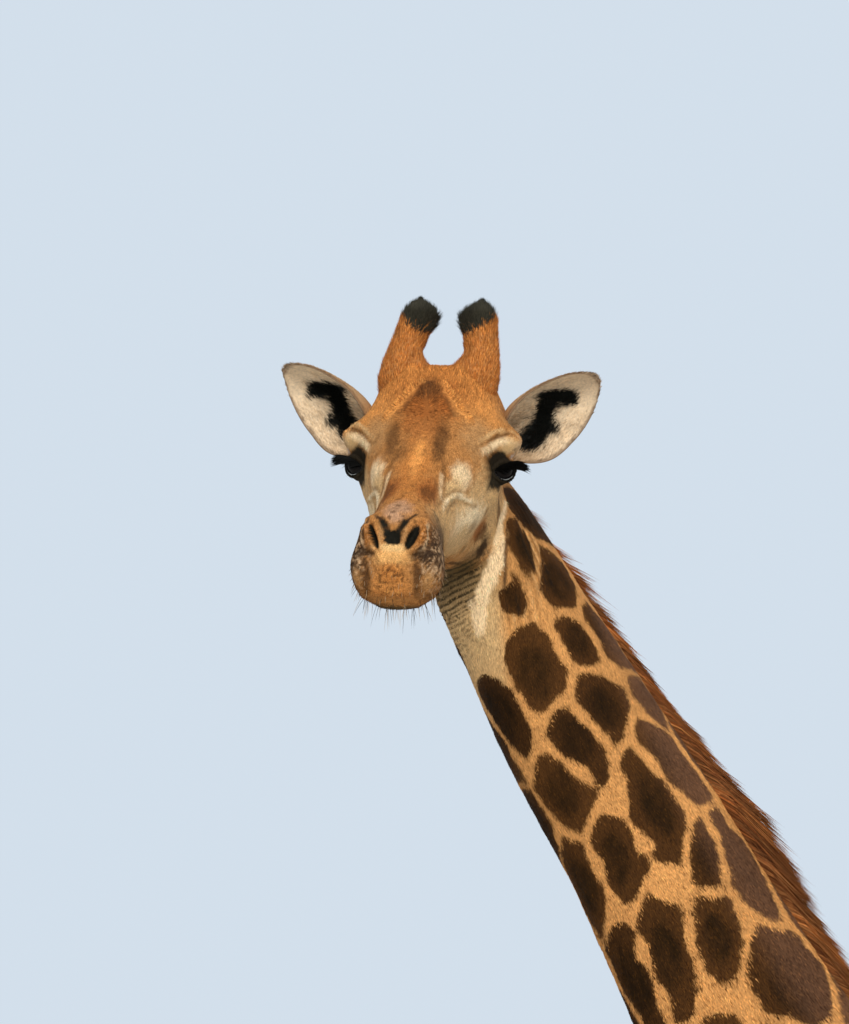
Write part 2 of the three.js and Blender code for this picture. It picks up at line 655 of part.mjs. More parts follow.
function meshOf(name, body) {
  const { vertProperties, numProp, numVert, triVerts } = body.getMesh();
  const positions = new Float32Array(numVert * 3);
  for (let i = 0; i < numVert; i += 1) {
    positions.set(vertProperties.subarray(i * numProp, i * numProp + 3), i * 3);
  }
  const geometry = new THREE.BufferGeometry();
  geometry.setAttribute("position", new THREE.BufferAttribute(positions, 3));
  geometry.setIndex(new THREE.BufferAttribute(triVerts, 1));
  geometry.computeVertexNormals();
  const mesh = new THREE.Mesh(geometry, materialOf(name));
  mesh.name = name;
  return mesh;
}

// The head's own pieces hang in a group that carries the head's frame.
const HEAD_PIECES = ["head", "eye_left", "eye_right", "ear_left", "ear_right", "ossicone_left", "ossicone_right"];

const giraffe = new THREE.Group();
const turnedHead = new THREE.Group();
turnedHead.applyMatrix4(headFrame);
giraffe.add(turnedHead);
const toHead = headFrame.clone().invert();
for (const [name, body] of Object.entries(buildPieces())) {
  if (HEAD_PIECES.includes(name)) turnedHead.add(meshOf(name, body.transform(toHead.elements)));
  else giraffe.add(meshOf(name, body));
}

// The origin goes to the middle of the model's own box, on the ground.
const box = new THREE.Box3().setFromObject(giraffe, true);
giraffe.position.set(-(box.min.x + box.max.x) / 2, -(box.min.y + box.max.y) / 2, 0);

export default giraffe;
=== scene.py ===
# A standing giraffe as a still, life-size museum model, dressed with skin, coat, mane, eyes and hooves.
# Lengths are metres in the model's own frame. Places on the head are millimetres in the head's frame:
# X runs from the eyes to the nostrils, Y to the animal's left, Z to the crown, from the middle of the eyes.
import math

import bmesh
import bpy
import numpy as np
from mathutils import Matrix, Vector
from mathutils.bvhtree import BVHTree


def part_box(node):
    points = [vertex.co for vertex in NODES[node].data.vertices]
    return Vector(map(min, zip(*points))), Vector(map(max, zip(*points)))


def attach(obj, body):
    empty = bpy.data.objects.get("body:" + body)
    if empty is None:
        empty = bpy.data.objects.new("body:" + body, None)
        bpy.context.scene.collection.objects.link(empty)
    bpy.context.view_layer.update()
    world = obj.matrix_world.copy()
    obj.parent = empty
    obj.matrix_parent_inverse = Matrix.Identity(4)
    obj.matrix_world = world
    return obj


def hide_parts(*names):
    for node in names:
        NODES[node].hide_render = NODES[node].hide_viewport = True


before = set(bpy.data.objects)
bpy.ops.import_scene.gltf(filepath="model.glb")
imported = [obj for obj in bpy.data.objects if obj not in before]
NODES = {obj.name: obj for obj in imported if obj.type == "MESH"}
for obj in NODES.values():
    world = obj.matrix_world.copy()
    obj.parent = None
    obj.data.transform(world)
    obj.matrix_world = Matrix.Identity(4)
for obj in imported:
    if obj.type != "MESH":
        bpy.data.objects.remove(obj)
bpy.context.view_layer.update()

random = np.random.default_rng(11)

# ---------------------------------------------------------------- where things are

EYE_FORWARD, HEAD_ASIDE = 1.600, 0.215  # the middle of the eyes, ahead of the trunk's middle and aside
HEAD_PITCH, HEAD_YAW, HEAD_ROLL = 24, 9, 3  # degrees
EYE_RADIUS = 23.0
EYE_SIDE = 107.0
SIDES = ((1, "left"), (-1, "right"))


def middle_of(node):
    low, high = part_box(node)
    return np.array((low + high) / 2)


EYE_MIDDLE = (middle_of("eye_left") + middle_of("eye_right")) / 2


def head_axes():
    pitch, yaw, roll = (math.radians(angle) for angle in (HEAD_PITCH, HEAD_YAW, HEAD_ROLL))
    nose = np.array([-math.cos(pitch) * math.sin(yaw), -math.cos(pitch) * math.cos(yaw), -math.sin(pitch)])
    level = np.array([math.cos(yaw), -math.sin(yaw), 0])
    crown = np.cross(nose, level)
    left = level * math.cos(roll) - crown * math.sin(roll)
    return np.array([nose, left, np.cross(nose, left)])


HEAD = head_axes()


def in_head(points):
    return (np.asarray(points) - EYE_MIDDLE) @ HEAD.T * 1000


def from_head(points):
    return EYE_MIDDLE + np.asarray(points, float) @ HEAD / 1000


# A place on the animal, in metres: ahead of the trunk's middle, to the animal's left, above the ground.
def on_animal(forward, left, height):
    return np.stack(np.broadcast_arrays(
        EYE_MIDDLE[0] + EYE_FORWARD - forward, EYE_MIDDLE[1] + HEAD_ASIDE - left, height), -1)


def unit(vectors):
    return vectors / np.maximum(np.linalg.norm(vectors, axis=-1, keepdims=True), 1e-12)


# The neck's line from inside the skull to inside the chest: forward, left, height and half depth,
# then the way its crest faces, as forward, left and up.
NECK = np.array([
    [1.572, 0.062, 4.082, 0.084, -0.10, -1.00, 0.45],
    [1.524, 0.024, 4.010, 0.096, -0.25, -0.95, 0.45],
    [1.474, 0.006, 3.915, 0.107, -0.50, -0.80, 0.45],
    [1.422, 0.000, 3.800, 0.124, -0.74, -0.50, 0.48],
    [1.355, 0.000, 3.673, 0.131, -0.86, -0.18, 0.50],
    [1.262, 0.000, 3.517, 0.138, -0.87, 0.00, 0.50],
    [1.114, 0.000, 3.236, 0.162, -0.85, 0.00, 0.53],
    [0.960, 0.000, 2.985, 0.192, -0.82, 0.00, 0.57],
    [0.790, 0.000, 2.735, 0.240, -0.78, 0.00, 0.62],
    [0.610, 0.000, 2.505, 0.305, -0.72, 0.00, 0.69],
    [0.440, 0.000, 2.310, 0.335, -0.66, 0.00, 0.75],
    [0.280, 0.000, 2.170, 0.300, -0.60, 0.00, 0.80],
])

SPINE_SOFT = 0.0015  # square metres


class Spine:
    """The neck's line, finely stepped, with its crest and side directions."""

    def __init__(self, steps=240):
        keys = on_animal(NECK[:, 0], NECK[:, 1], NECK[:, 2])
        down = np.concatenate([[0], np.cumsum(np.linalg.norm(np.diff(keys, axis=0), axis=1))])
        self.down = np.linspace(0, down[-1], steps)
        spread = lambda values: np.stack([np.interp(self.down, down, column) for column in values.T], 1)
        self.centre = spread(keys)
        self.deep = np.interp(self.down, down, NECK[:, 3])
        self.along = unit(np.gradient(self.centre, axis=0))
        crest = spread(NECK[:, 4:7] * [-1, -1, 1])
        self.crest = unit(crest - self.along * (crest * self.along).sum(1, keepdims=True))
        self.side = np.cross(self.along, self.crest)

    # How far down the neck each point is, and its angle round it: 0 at the crest, a quarter turn on
    # the animal's left, half a turn at the throat.
    def locate(self, points):
        parts = np.array_split(points, max(1, len(points) // 20000))
        down = np.concatenate([self._nearest(part) for part in parts])
        centre, _, along, crest, side = self.at(down)
        offset = points - centre
        down = down + (offset * along).sum(1)
        return down, np.arctan2((offset * side).sum(1), (offset * crest).sum(1))

    # How far down the nearest place of the line is, softly, so that nothing jumps inside the bend.
    def _nearest(self, points):
        far = (points ** 2).sum(1)[:, None] - 2 * points @ self.centre.T + (self.centre ** 2).sum(1)[None]
        weight = np.exp((far.min(1, keepdims=True) - far) / SPINE_SOFT)
        return (weight @ self.down) / weight.sum(1)

    def at(self, down):
        """The neck's centre, half depth, and its ways along, to the crest and to the left, some way down."""
        spread = lambda values: np.stack([np.interp(down, self.down, column) for column in values.T], 1)
        crest, along = unit(spread(self.crest)), unit(spread(self.along))
        deep = np.interp(down, self.down, self.deep)
        return spread(self.centre), deep, along, crest, np.cross(along, crest)

    def point(self, down, around, reach=1.0):
        centre, deep, _, crest, side = self.at(down)
        out = crest * np.cos(around)[:, None] + side * np.sin(around)[:, None]
        return centre + out * (deep * reach)[:, None]


SPINE = Spine()

# ---------------------------------------------------------------- small tools


def smoothstep(low, high, value):
    t = np.clip((value - low) / (high - low), 0, 1)
    return t * t * (3 - 2 * t)


# A soft random wobble over space, about -1 to 1, made of waves that cross at random.
def wobble(points, size, seed, waves=11):
    own = np.random.default_rng(seed)
    ways = unit(own.normal(size=(waves, 3))) * own.uniform(0.6, 1.6, (waves, 1)) * 2 * math.pi / size
    return np.sin(points @ ways.T + own.uniform(0, 2 * math.pi, waves)).sum(1) / math.sqrt(waves) * 0.75


def new_object(name, mesh, material, slot, *replaced):
    piece = bpy.data.objects.new(name, mesh)
    bpy.context.scene.collection.objects.link(piece)
    mesh.materials.clear()
    mesh.materials.append(material)
    mesh.shade_smooth()
    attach(piece, "root")
    if replaced:
        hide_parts(*replaced)
    return piece


def store(mesh, name, values, kind="FLOAT_COLOR"):
    """Puts values on the mesh's points: one number each, a colour, or (kind FLOAT_VECTOR) a place."""
    if values.ndim == 1:
        field = mesh.attributes.new(name, "FLOAT", "POINT")
        field.data.foreach_set("value", values.astype(np.float32))
    elif kind == "FLOAT_VECTOR":
        field = mesh.attributes.new(name, kind, "POINT")
        field.data.foreach_set("vector", values.astype(np.float32).ravel())
    else:
        field = mesh.attributes.new(name, kind, "POINT")
        rgba = np.ones((len(values), 4), np.float32)
        rgba[:, :3] = values
        field.data.foreach_set("color", rgba.ravel())


def corners(bm):
    return np.array([v.co[:] for v in bm.verts])


def put_corners(bm, places):
    for vertex, place in zip(bm.verts, places.tolist()):
        vertex.co = place


# ---------------------------------------------------------------- the skin, one closed shape

LEGS = [f"{pair}leg_{side}" for pair in ("fore", "hind") for side in ("left", "right")]
FLESH = ["head", "neck_upper", "neck_middle", "neck_lower", "trunk", "tail"]
FLESH += [f"{leg}_{part}" for leg in LEGS for part in ("upper", "lower")]


# One mesh of several nodes, each swollen a little, so that they overlap across the thin cuts.
def swollen_copy(names, swell):
    whole = bmesh.new()
    for name in names:
        part = bmesh.new()
        part.from_mesh(NODES[name].data)
        bmesh.ops.remove_doubles(part, verts=part.verts, dist=1e-5)
        bmesh.ops.recalc_face_normals(part, faces=part.faces)
        part.normal_update()
        for vertex in part.verts:
            vertex.co += vertex.normal * swell
        mesh = bpy.data.meshes.new("part")
        part.to_mesh(mesh)
        whole.from_mesh(mesh)
        bpy.data.meshes.remove(mesh)
        part.free()
    return whole


def fused(names, swell, cell):
    whole = swollen_copy(names, swell)
    mesh = bpy.data.meshes.new("fused")
    whole.to_mesh(mesh)
    whole.free()
    rough = bpy.data.objects.new("fused", mesh)
    bpy.context.scene.collection.objects.link(rough)
    remesh = rough.modifiers.new("remesh", "REMESH")
    remesh.mode = "VOXEL"
    remesh.voxel_size = cell
    shape = bpy.data.meshes.new_from_object(rough.evaluated_get(bpy.context.evaluated_depsgraph_get()))
    bpy.data.objects.remove(rough)
    bm = bmesh.new()
    bm.from_mesh(shape)
    bpy.data.meshes.remove(shape)
    return bm


# Evens out bumps without shrinking the form: each soft pass is followed by one that swells it back.
def even_out(bm, passes):
    verts = list(bm.verts)
    every_way = {"use_axis_x": True, "use_axis_y": True, "use_axis_z": True}
    for _ in range(passes):
        for factor in (0.5, -0.52):
            bmesh.ops.smooth_vert(bm, verts=verts, factor=factor, **every_way)


# Halves the mesh's cells wherever chosen(points) holds.
def refine(bm, chosen):
    bm.verts.index_update()
    wanted = chosen(corners(bm))
    edges = [e for e in bm.edges if wanted[e.verts[0].index] and wanted[e.verts[1].index]]
    bmesh.ops.subdivide_edges(bm, edges=edges, cuts=1, use_grid_fill=True)


def near_head(points, back=-150):
    x, y, z = in_head(points).T
    return (x > back) & (x < 420) & (abs(y) < 170) & (z > -260) & (z < 190)


def upper_neck(points):
    down, _ = SPINE.locate(points)
    return near_head(points) | ((down < 1.05) & (points[:, 2] > 3.0))


# How far the skin lies inside the solids, under the coat.
COAT_DEPTH = {"head": 0.0035, "neck": 0.0035, "trunk": 0.006, "leg": 0.0035, "tail": 0.002}


def node_finder(names):
    """The nearest of some CAD nodes for any point, as an index into names."""
    places, faces, owner = [], [], []
    for index, name in enumerate(names):
        start = len(places)
        places += [v.co[:] for v in NODES[name].data.vertices]
        faces += [[start + i for i in polygon.vertices] for polygon in NODES[name].data.polygons]
        owner += [index] * len(NODES[name].data.polygons)
    tree = BVHTree.FromPolygons(places, faces)
    return lambda points: np.array([owner[tree.find_nearest(point)[2]] for point in points.tolist()])


nearest_flesh = node_finder(FLESH)


def kind_of(node):
    return next(kind for kind in COAT_DEPTH if kind in node)


def draw_in(bm):
    """Lays the skin inside the solids by the depth of the coat."""
    bm.normal_update()
    owner = nearest_flesh(corners(bm))
    depths = np.array([COAT_DEPTH[kind_of(name)] for name in FLESH])[owner]
    for vertex, depth in zip(bm.verts, depths.tolist()):
        vertex.co -= vertex.normal * depth


# ---------------------------------------------------------------- the face's forms, in the head's frame

# Soft swellings and hollows: place, reach along X, Y, Z, and push.
FACE_FORMS = [
    ((-6, 118, 40), (40, 26, 20), (3, 18, 3)),  # the brow's overhang
    ((-46, 112, 26), (36, 24, 34), (0, 26, 2)),  # the temple, out to the ear
    ((18, 114, -42), (30, 18, 14), (0, 4, -1)),  # the bag under the eye
    ((88, 36, 80), (34, 12, 18), (0, -1, -4)),  # the hollows beside the bridge
    ((124, 66, 28), (34, 24, 22), (1, 5, 5)),  # the pad inside the eye
    ((156, 62, -20), (46, 14, 16), (0, -2, -1)),  # the hollow before the cheek
    ((104, 72, -62), (52, 22, 34), (2, 8, -2)),  # the cheek's pouch
    ((206, 46, 22), (30, 14, 16), (0, -3, -2)),
    ((354, 44, 8), (22, 14, 20), (3, 3, 2)),  # the wing of the nostril
    ((372, 60, -36), (26, 18, 26), (2, 6, 0)),  # the swelling beside the lip
    ((386, 56, -62), (18, 16, 20), (3, 3, 0)),  # the corner of the upper lip
    ((390, 34, -34), (14, 9, 26), (-3, 0, 0)),  # the furrow beside the middle of the lip
    ((-82, 40, 136), (26, 15, 18), (2, 0, 8)),  # the swelling where the horns grow
]
MIDDLE_FORMS = [
    ((4, 0, 122), (36, 22, 26), (5, 0, 8)),  # the knob of the forehead
    ((-44, 0, 136), (26, 18, 16), (0, 0, -3)),
    ((120, 0, 66), (60, 16, 18), (0, 0, 3)),  # the ridge of the bridge
    ((368, 0, 6), (13, 12, 14), (-9, 0, -6)),  # the hollow between the nostrils
    ((336, 0, 36), (20, 16, 12), (3, 0, 3)),
    ((396, 0, -48), (14, 28, 24), (4, 0, 0)),  # the upper lip
    ((388, 0, -92), (12, 50, 5), (-3, 0, 0)),  # the mouth's line
]


# The muzzle is a little askew: its middle lies to the right of the eyes' middle by up to this much.
MUZZLE_ASKEW = 5.0


def askew(x):
    return MUZZLE_ASKEW * smoothstep(150, 350, x)


def on_both_sides(points):
    """The same points folded to the left side, and the sign that unfolds them."""
    folded = points.copy()
    folded[:, 1] += askew(points[:, 0])
    side = np.where(folded[:, 1] < 0, -1.0, 1.0)
    folded[:, 1] *= side
    return folded, side


def unfolded(folded, side, askew_by):
    points = folded.copy()
    points[:, 1] = points[:, 1] * side - askew_by
    return points


def swell(points, forms):
    moved = np.zeros_like(points)
    for place, reach, push in forms:
        far = (((points - place) / reach) ** 2).sum(1)
        moved += np.exp(-far)[:, None] * push
    return moved


# Distance to a line of points, and how far along it the nearest place is, 0 to 1.
def to_line(points, line):
    line = np.asarray(line, float)
    best = np.full(len(points), 1e9)
    share = np.zeros(len(points))
    lengths = np.linalg.norm(np.diff(line, axis=0), axis=1)
    run = np.concatenate([[0], np.cumsum(lengths)])
    for a, b, start, length in zip(line, line[1:], run, lengths):
        along = np.clip(((points - a) @ (b - a)) / length ** 2, 0, 1)
        far = np.linalg.norm(points - a - along[:, None] * (b - a), axis=1)
        nearer = far < best
        best = np.where(nearer, far, best)
        share = np.where(nearer, (start + along * length) / run[-1], share)
    return best, share


# Raised folds and veins of one side: points along them, width and height. A height below 0 is a crease.
FACE_LINES = [
    ([(-40, 8, 138), (-6, 29, 124), (15, 51, 103), (28, 72, 80)], 8, 8.5),  # the V of the forehead
    ([(0, 10, 126), (12, 28, 112), (30, 46, 94)], 7, -3.5),
    ([(128, 40, 50), (168, 25, 51), (205, 38, 34), (262, 45, 20)], 5, 3.4),  # the vein beside the bridge
    ([(96, 34, 66), (140, 40, 46), (190, 42, 32), (240, 46, 20)], 4, -2.2),
    ([(226, 50, -4), (216, 51, 4), (187, 54, 9), (155, 63, 7), (137, 73, -3), (103, 81, -22),
      (76, 90, -32)], 4, 3.6),  # the cheek's folds
    ([(206, 54, -8), (180, 58, -3), (148, 68, -6), (122, 76, -22)], 3.5, -2.0),
    ([(54, 84, 56), (34, 98, 56), (12, 112, 60), (-10, 126, 58), (-30, 136, 44)], 4, -3.0),  # the brow's
    ([(56, 86, 44), (35, 100, 48), (14, 116, 51), (-8, 132, 48), (-26, 140, 36)], 5, 3.4),
    ([(52, 92, 34), (30, 108, 38), (8, 124, 38), (-10, 138, 30)], 4, -3.0),
    ([(60, 82, 62), (34, 95, 64), (6, 108, 68), (-26, 126, 64)], 4, 2.6),
    ([(330, 74, -40), (300, 72, -56), (272, 70, -72), (238, 66, -80)], 5, -3.6),  # the mouth's corner
    ([(388, 40, -92), (366, 62, -88), (330, 74, -82), (290, 72, -80)], 5, -3.5),  # the line of the lips
    ([(326, 29, 32), (340, 22, 28), (353, 14, 21), (362, 7, 12)], 4.5, -3.0),  # between the nostrils
    ([(376, 34, -12), (382, 44, -22), (386, 42, -36), (391, 39, -64)], 5, -4.6),  # the furrow beside the lip
    ([(380, 62, -24), (374, 66, -44), (376, 66, -62)], 4, -2.6),
]


def lined(points, lines):
    height = np.zeros(len(points))
    for line, width, rise in lines:
        far, share = to_line(points, line)
        fade = smoothstep(0, 0.15, share) * smoothstep(1, 0.85, share)
        height += rise * np.exp(-((far / width) ** 2)) * fade
    return height


# The eye: where its opening faces, and how wide and high it is, as angles on the ball.
EYE_CENTRE = np.array([0, EYE_SIDE, 0])
EYE_OUT = unit(np.array([0.76, 0.65, 0.20]))
EYE_FORE = unit(np.array([1, -1, 0.1]) - EYE_OUT * (np.array([1, -1, 0.1]) @ EYE_OUT))
EYE_UP = np.cross(EYE_FORE, EYE_OUT)
EYE_HALF_WIDTH, UPPER_LID, LOWER_LID = 0.84, 0.44, 0.56
LID_THICK = 2.6
# The folds of skin that ring the eye: angle from the lid's edge, width, and height in millimetres.
UPPER_FOLDS = [(0.16, 0.10, 1.2), (0.36, 0.09, -2.6), (0.60, 0.13, 2.4), (0.86, 0.10, -1.4)]
LOWER_FOLDS = [(0.14, 0.10, 1.0), (0.34, 0.08, -1.6), (0.56, 0.12, 1.4), (0.80, 0.10, -0.9)]


def lid_height(across, upper):
    """The angle of the lid's edge above or below the middle of the opening."""
    full = UPPER_LID if upper else LOWER_LID
    return full * np.clip(1 - (across / EYE_HALF_WIDTH) ** 2, 0, 1) ** 0.7


def eye_angles(points):
    """Angles of points round the eye: forward, up, and the distance from its centre."""
    offset = points - EYE_CENTRE
    far = np.linalg.norm(offset, axis=1)
    ways = offset / np.maximum(far, 1e-9)[:, None]
    fore = np.arctan2(ways @ EYE_FORE, np.maximum(ways @ EYE_OUT, 0.05))
    rise = np.arcsin(np.clip(ways @ EYE_UP, -1, 1))
    return fore, rise, far, ways @ EYE_OUT


def lid_edge_distance(fore, rise):
    """The angle between a place and the edge of the opening: below 0 inside it."""
    above = np.where(rise > 0, rise - lid_height(fore, True), -rise - lid_height(fore, False))
    beyond = np.abs(fore) - EYE_HALF_WIDTH
    return np.where((above < 0) & (beyond < 0), np.maximum(above, beyond),
                    np.hypot(np.maximum(above, 0), np.maximum(beyond, 0)))


def on_lid(fore, upper, out):
    """A place on the edge of a lid, `out` millimetres off the ball."""
    rise = lid_height(fore, upper) * (1 if upper else -1)
    flat = EYE_OUT * np.cos(fore)[:, None] + EYE_FORE * np.sin(fore)[:, None]
    ways = flat * np.cos(rise)[:, None] + EYE_UP * np.sin(rise)[:, None]
    return EYE_CENTRE + ways * (EYE_RADIUS + out)


def lid_edge(turn, out):
    fore = np.cos(turn) * EYE_HALF_WIDTH
    return np.where((np.sin(turn) > 0)[:, None], on_lid(fore, True, out), on_lid(fore, False, out))


def shape_lids(points):
    """Opens the lids over the ball and rings the eye with its folds."""
    fore, rise, far, facing = eye_angles(points)
    near = (far < 62) & (facing > 0.05)
    edge = lid_edge_distance(fore, rise)
    inside = near & (edge < -0.02)
    lid = near & ~inside
    want = far.copy()
    want[inside] = EYE_RADIUS - 7
    over = EYE_RADIUS + LID_THICK + 2.2 * smoothstep(0, 0.25, edge)
    settled = over + (far - over) * smoothstep(0.06, 0.95, edge)
    want[lid] = settled[lid]
    ways = (points - EYE_CENTRE) / np.maximum(far, 1e-9)[:, None]
    moved = EYE_CENTRE + ways * want[:, None]
    folds = np.zeros(len(points))
    above, below = smoothstep(-0.35, 0.15, rise), smoothstep(0.25, -0.15, rise)
    for rings, share in ((UPPER_FOLDS, above), (LOWER_FOLDS, below)):
        for middle, width, height in rings:
            folds += height * np.exp(-(((edge - middle) / width) ** 2)) * share
    folds *= near * smoothstep(1.1, 0.9, edge) * smoothstep(1.9, 1.3, abs(fore))
    return moved + ways * (folds * ~inside)[:, None]


# A nostril's slit: its middle, the ways along it and out of it, its half length and width, and its depth.
NOSTRIL = {
    "at": (364, 30, 4), "long": (-0.68, 0.34, 0.62), "out": (0.62, 0.20, 0.72),
    "reach": (19, 6.5), "deep": 14,
}


def nostril_place(points):
    """Places round the nostril: along its slit, across it to the outside, and out of the skin."""
    long = unit(np.array(NOSTRIL["long"]))
    out = np.array(NOSTRIL["out"])
    out = unit(out - long * (out @ long))
    wide = np.cross(out, long)
    offset = points - NOSTRIL["at"]
    return offset @ long, offset @ wide * np.sign(wide[1]), offset @ out


def slit_distance(points, side):
    """How far from the middle of a nostril's slit, 1 at its edge. The right one is narrower."""
    along, aside, _ = nostril_place(points)
    long, wide = NOSTRIL["reach"]
    return np.hypot(along / long, aside / (wide * np.where(side > 0, 1.0, 0.6)))


def shape_nostrils(points, normals, side):
    """Sinks a nostril's slit, raises the wing outside it and a lower rim inside, and creases the wing off."""
    along, aside, out = nostril_place(points)
    slit = slit_distance(points, side)
    close = np.exp(-((out / 24) ** 2))
    sink = NOSTRIL["deep"] * np.exp(-(slit ** 3) * 0.8)
    wing = np.where(aside > 0, 4.0, 2.5) * np.exp(-(((slit - 1.9) / 0.62) ** 2))
    round_wing = np.hypot(along / 27, (aside - 6) / 21)
    crease = 4.5 * np.exp(-(((round_wing - 1.0) / 0.17) ** 2)) * smoothstep(-4, 8, aside)
    return points + normals * ((wing - sink - crease) * close)[:, None]


# Wrinkles across the throat and folds down the side of the upper neck, as heights in millimetres.
THROAT_WRINKLES = {"spacing": 0.0092, "from": 0.10, "to": 0.30, "height": 1.0}
THROAT_FULL = 25  # how far the throat swells below the jaw
NECK_FOLDS = {"spacing": 0.014, "from": 0.05, "to": 0.36, "height": 1.2}


def throat_waves(points):
    down, around = SPINE.locate(points)
    turn = np.degrees(around) % 360 - 180  # from the throat's middle to the animal's right
    sway = 0.006 * wobble(points, 0.11, 5) + 0.012 * np.cos(around) + 0.0011 * wobble(points, 0.03, 7)
    phase = 2 * math.pi * (down + sway) / THROAT_WRINKLES["spacing"]
    place = smoothstep(-16, -5, turn) * smoothstep(48, 34, turn)
    place = place * smoothstep(THROAT_WRINKLES["from"], 0.13, down)
    place = place * smoothstep(THROAT_WRINKLES["to"], 0.22, down)
    place = place * smoothstep(-1.1, 0.0, wobble(points, 0.07, 8))
    wave = np.sin(phase)
    return (wave - 0.6 * (wave < 0) * wave ** 2) * place, place


def neck_folds(points):
    down, around = SPINE.locate(points)
    turn = np.degrees(np.abs(around))
    arc = np.abs(around) * 0.1 + 0.004 * wobble(points, 0.2, 6)
    phase = 2 * math.pi * (arc + 0.10 * down) / NECK_FOLDS["spacing"]
    place = smoothstep(84, 104, turn) * smoothstep(158, 144, turn)
    place = place * smoothstep(-0.8, 0.4, wobble(points, 0.12, 9))
    place = place * smoothstep(NECK_FOLDS["from"], 0.12, down) * smoothstep(NECK_FOLDS["to"], 0.22, down)
    return np.sin(phase) * place, place


def shape_head(bm):
    """Gives the plain skin its face, lids, nostrils, lips and throat."""
    bm.normal_update()
    places = corners(bm)
    normals = np.array([v.normal[:] for v in bm.verts])
    close = near_head(places, back=-240) | (SPINE.locate(places)[0] < 0.5)
    waves = throat_waves(places[close])[0] * THROAT_WRINKLES["height"]
    waves += neck_folds(places[close])[0] * NECK_FOLDS["height"]
    down, around = SPINE.locate(places[close])
    throat = smoothstep(105, 150, np.degrees(np.abs(around)))
    throat = throat * smoothstep(0.02, 0.12, down) * smoothstep(0.34, 0.15, down)
    places[close] += normals[close] * (waves + THROAT_FULL * throat)[:, None] / 1000
    points = in_head(places[close])
    askew_by = askew(points[:, 0])
    points, side = on_both_sides(points)
    ways = normals[close] @ HEAD.T
    ways[:, 1] *= side
    points += swell(points, FACE_FORMS) + swell(points, MIDDLE_FORMS)
    points += ways * lined(points, FACE_LINES)[:, None]
    points = shape_nostrils(points, ways, side)
    points = shape_lids(points)
    places[close] = from_head(unfolded(points, side, askew_by))
    put_corners(bm, places)
    bm.normal_update()


def fine_places(points):
    """Where the face needs the smallest cells: round the eyes and the nostrils, and on the lips."""
    q, _ = on_both_sides(in_head(points))
    eye = np.linalg.norm(q - EYE_CENTRE, axis=1) < 54
    nose = np.linalg.norm(q - (372, 28, 0), axis=1) < 46
    down, around = SPINE.locate(points)
    throat = (down > 0.03) & (down < 0.36) & (abs(around) > math.radians(140)) & (points[:, 2] > 3.6)
    return near_head(points) & (eye | nose) | throat


FLESH_SWELL, SKIN_CELL = 0.0008, 0.0175


def build_skin():
    bm = fused(FLESH + ["eye_left", "eye_right"], FLESH_SWELL, SKIN_CELL)
    even_out(bm, 10)
    for places in (upper_neck, near_head):
        refine(bm, places)
        even_out(bm, 5)
    refine(bm, fine_places)
    draw_in(bm)
    shape_head(bm)
    return bm


# ---------------------------------------------------------------- colours of the coat

RUST = (0.36, 0.115, 0.026)
ORANGE = (0.56, 0.215, 0.050)
BRIGHT = (0.86, 0.37, 0.095)
GOLD = (0.50, 0.225, 0.068)
TAN = (0.50, 0.28, 0.115)
CREAM = (0.74, 0.49, 0.23)
PALE = (0.93, 0.70, 0.42)
IVORY = (1.0, 0.83, 0.55)
HONEY = (0.56, 0.275, 0.090)
FAWN = (0.56, 0.33, 0.195)
UMBER = (0.090, 0.036, 0.012)
DARK = (0.030, 0.016, 0.010)
BLACK = (0.006, 0.007, 0.006)
GREY_BROWN = (0.135, 0.080, 0.044)
YELLOW = (0.86, 0.47, 0.165)
# dark olive: partly the throat's own colour, partly painted shade under the jaw and chin
OLIVE_SHADE = (0.125, 0.078, 0.030)
THROAT_TAN = (0.68, 0.47, 0.23)
# painted shade for the troughs of the throat's wrinkles
WRINKLE_SHADE = (0.045, 0.034, 0.016)
MUZZLE_FLECK = (0.60, 0.40, 0.23)
PATCH_EDGE, PATCH_MIDDLE = (0.066, 0.027, 0.007), (0.017, 0.008, 0.002)
PATCH_AT_CREST, PATCH_ON_TRUNK = (0.135, 0.066, 0.036), (0.17, 0.075, 0.028)
PATCH_ON_LEG = (0.26, 0.135, 0.060)

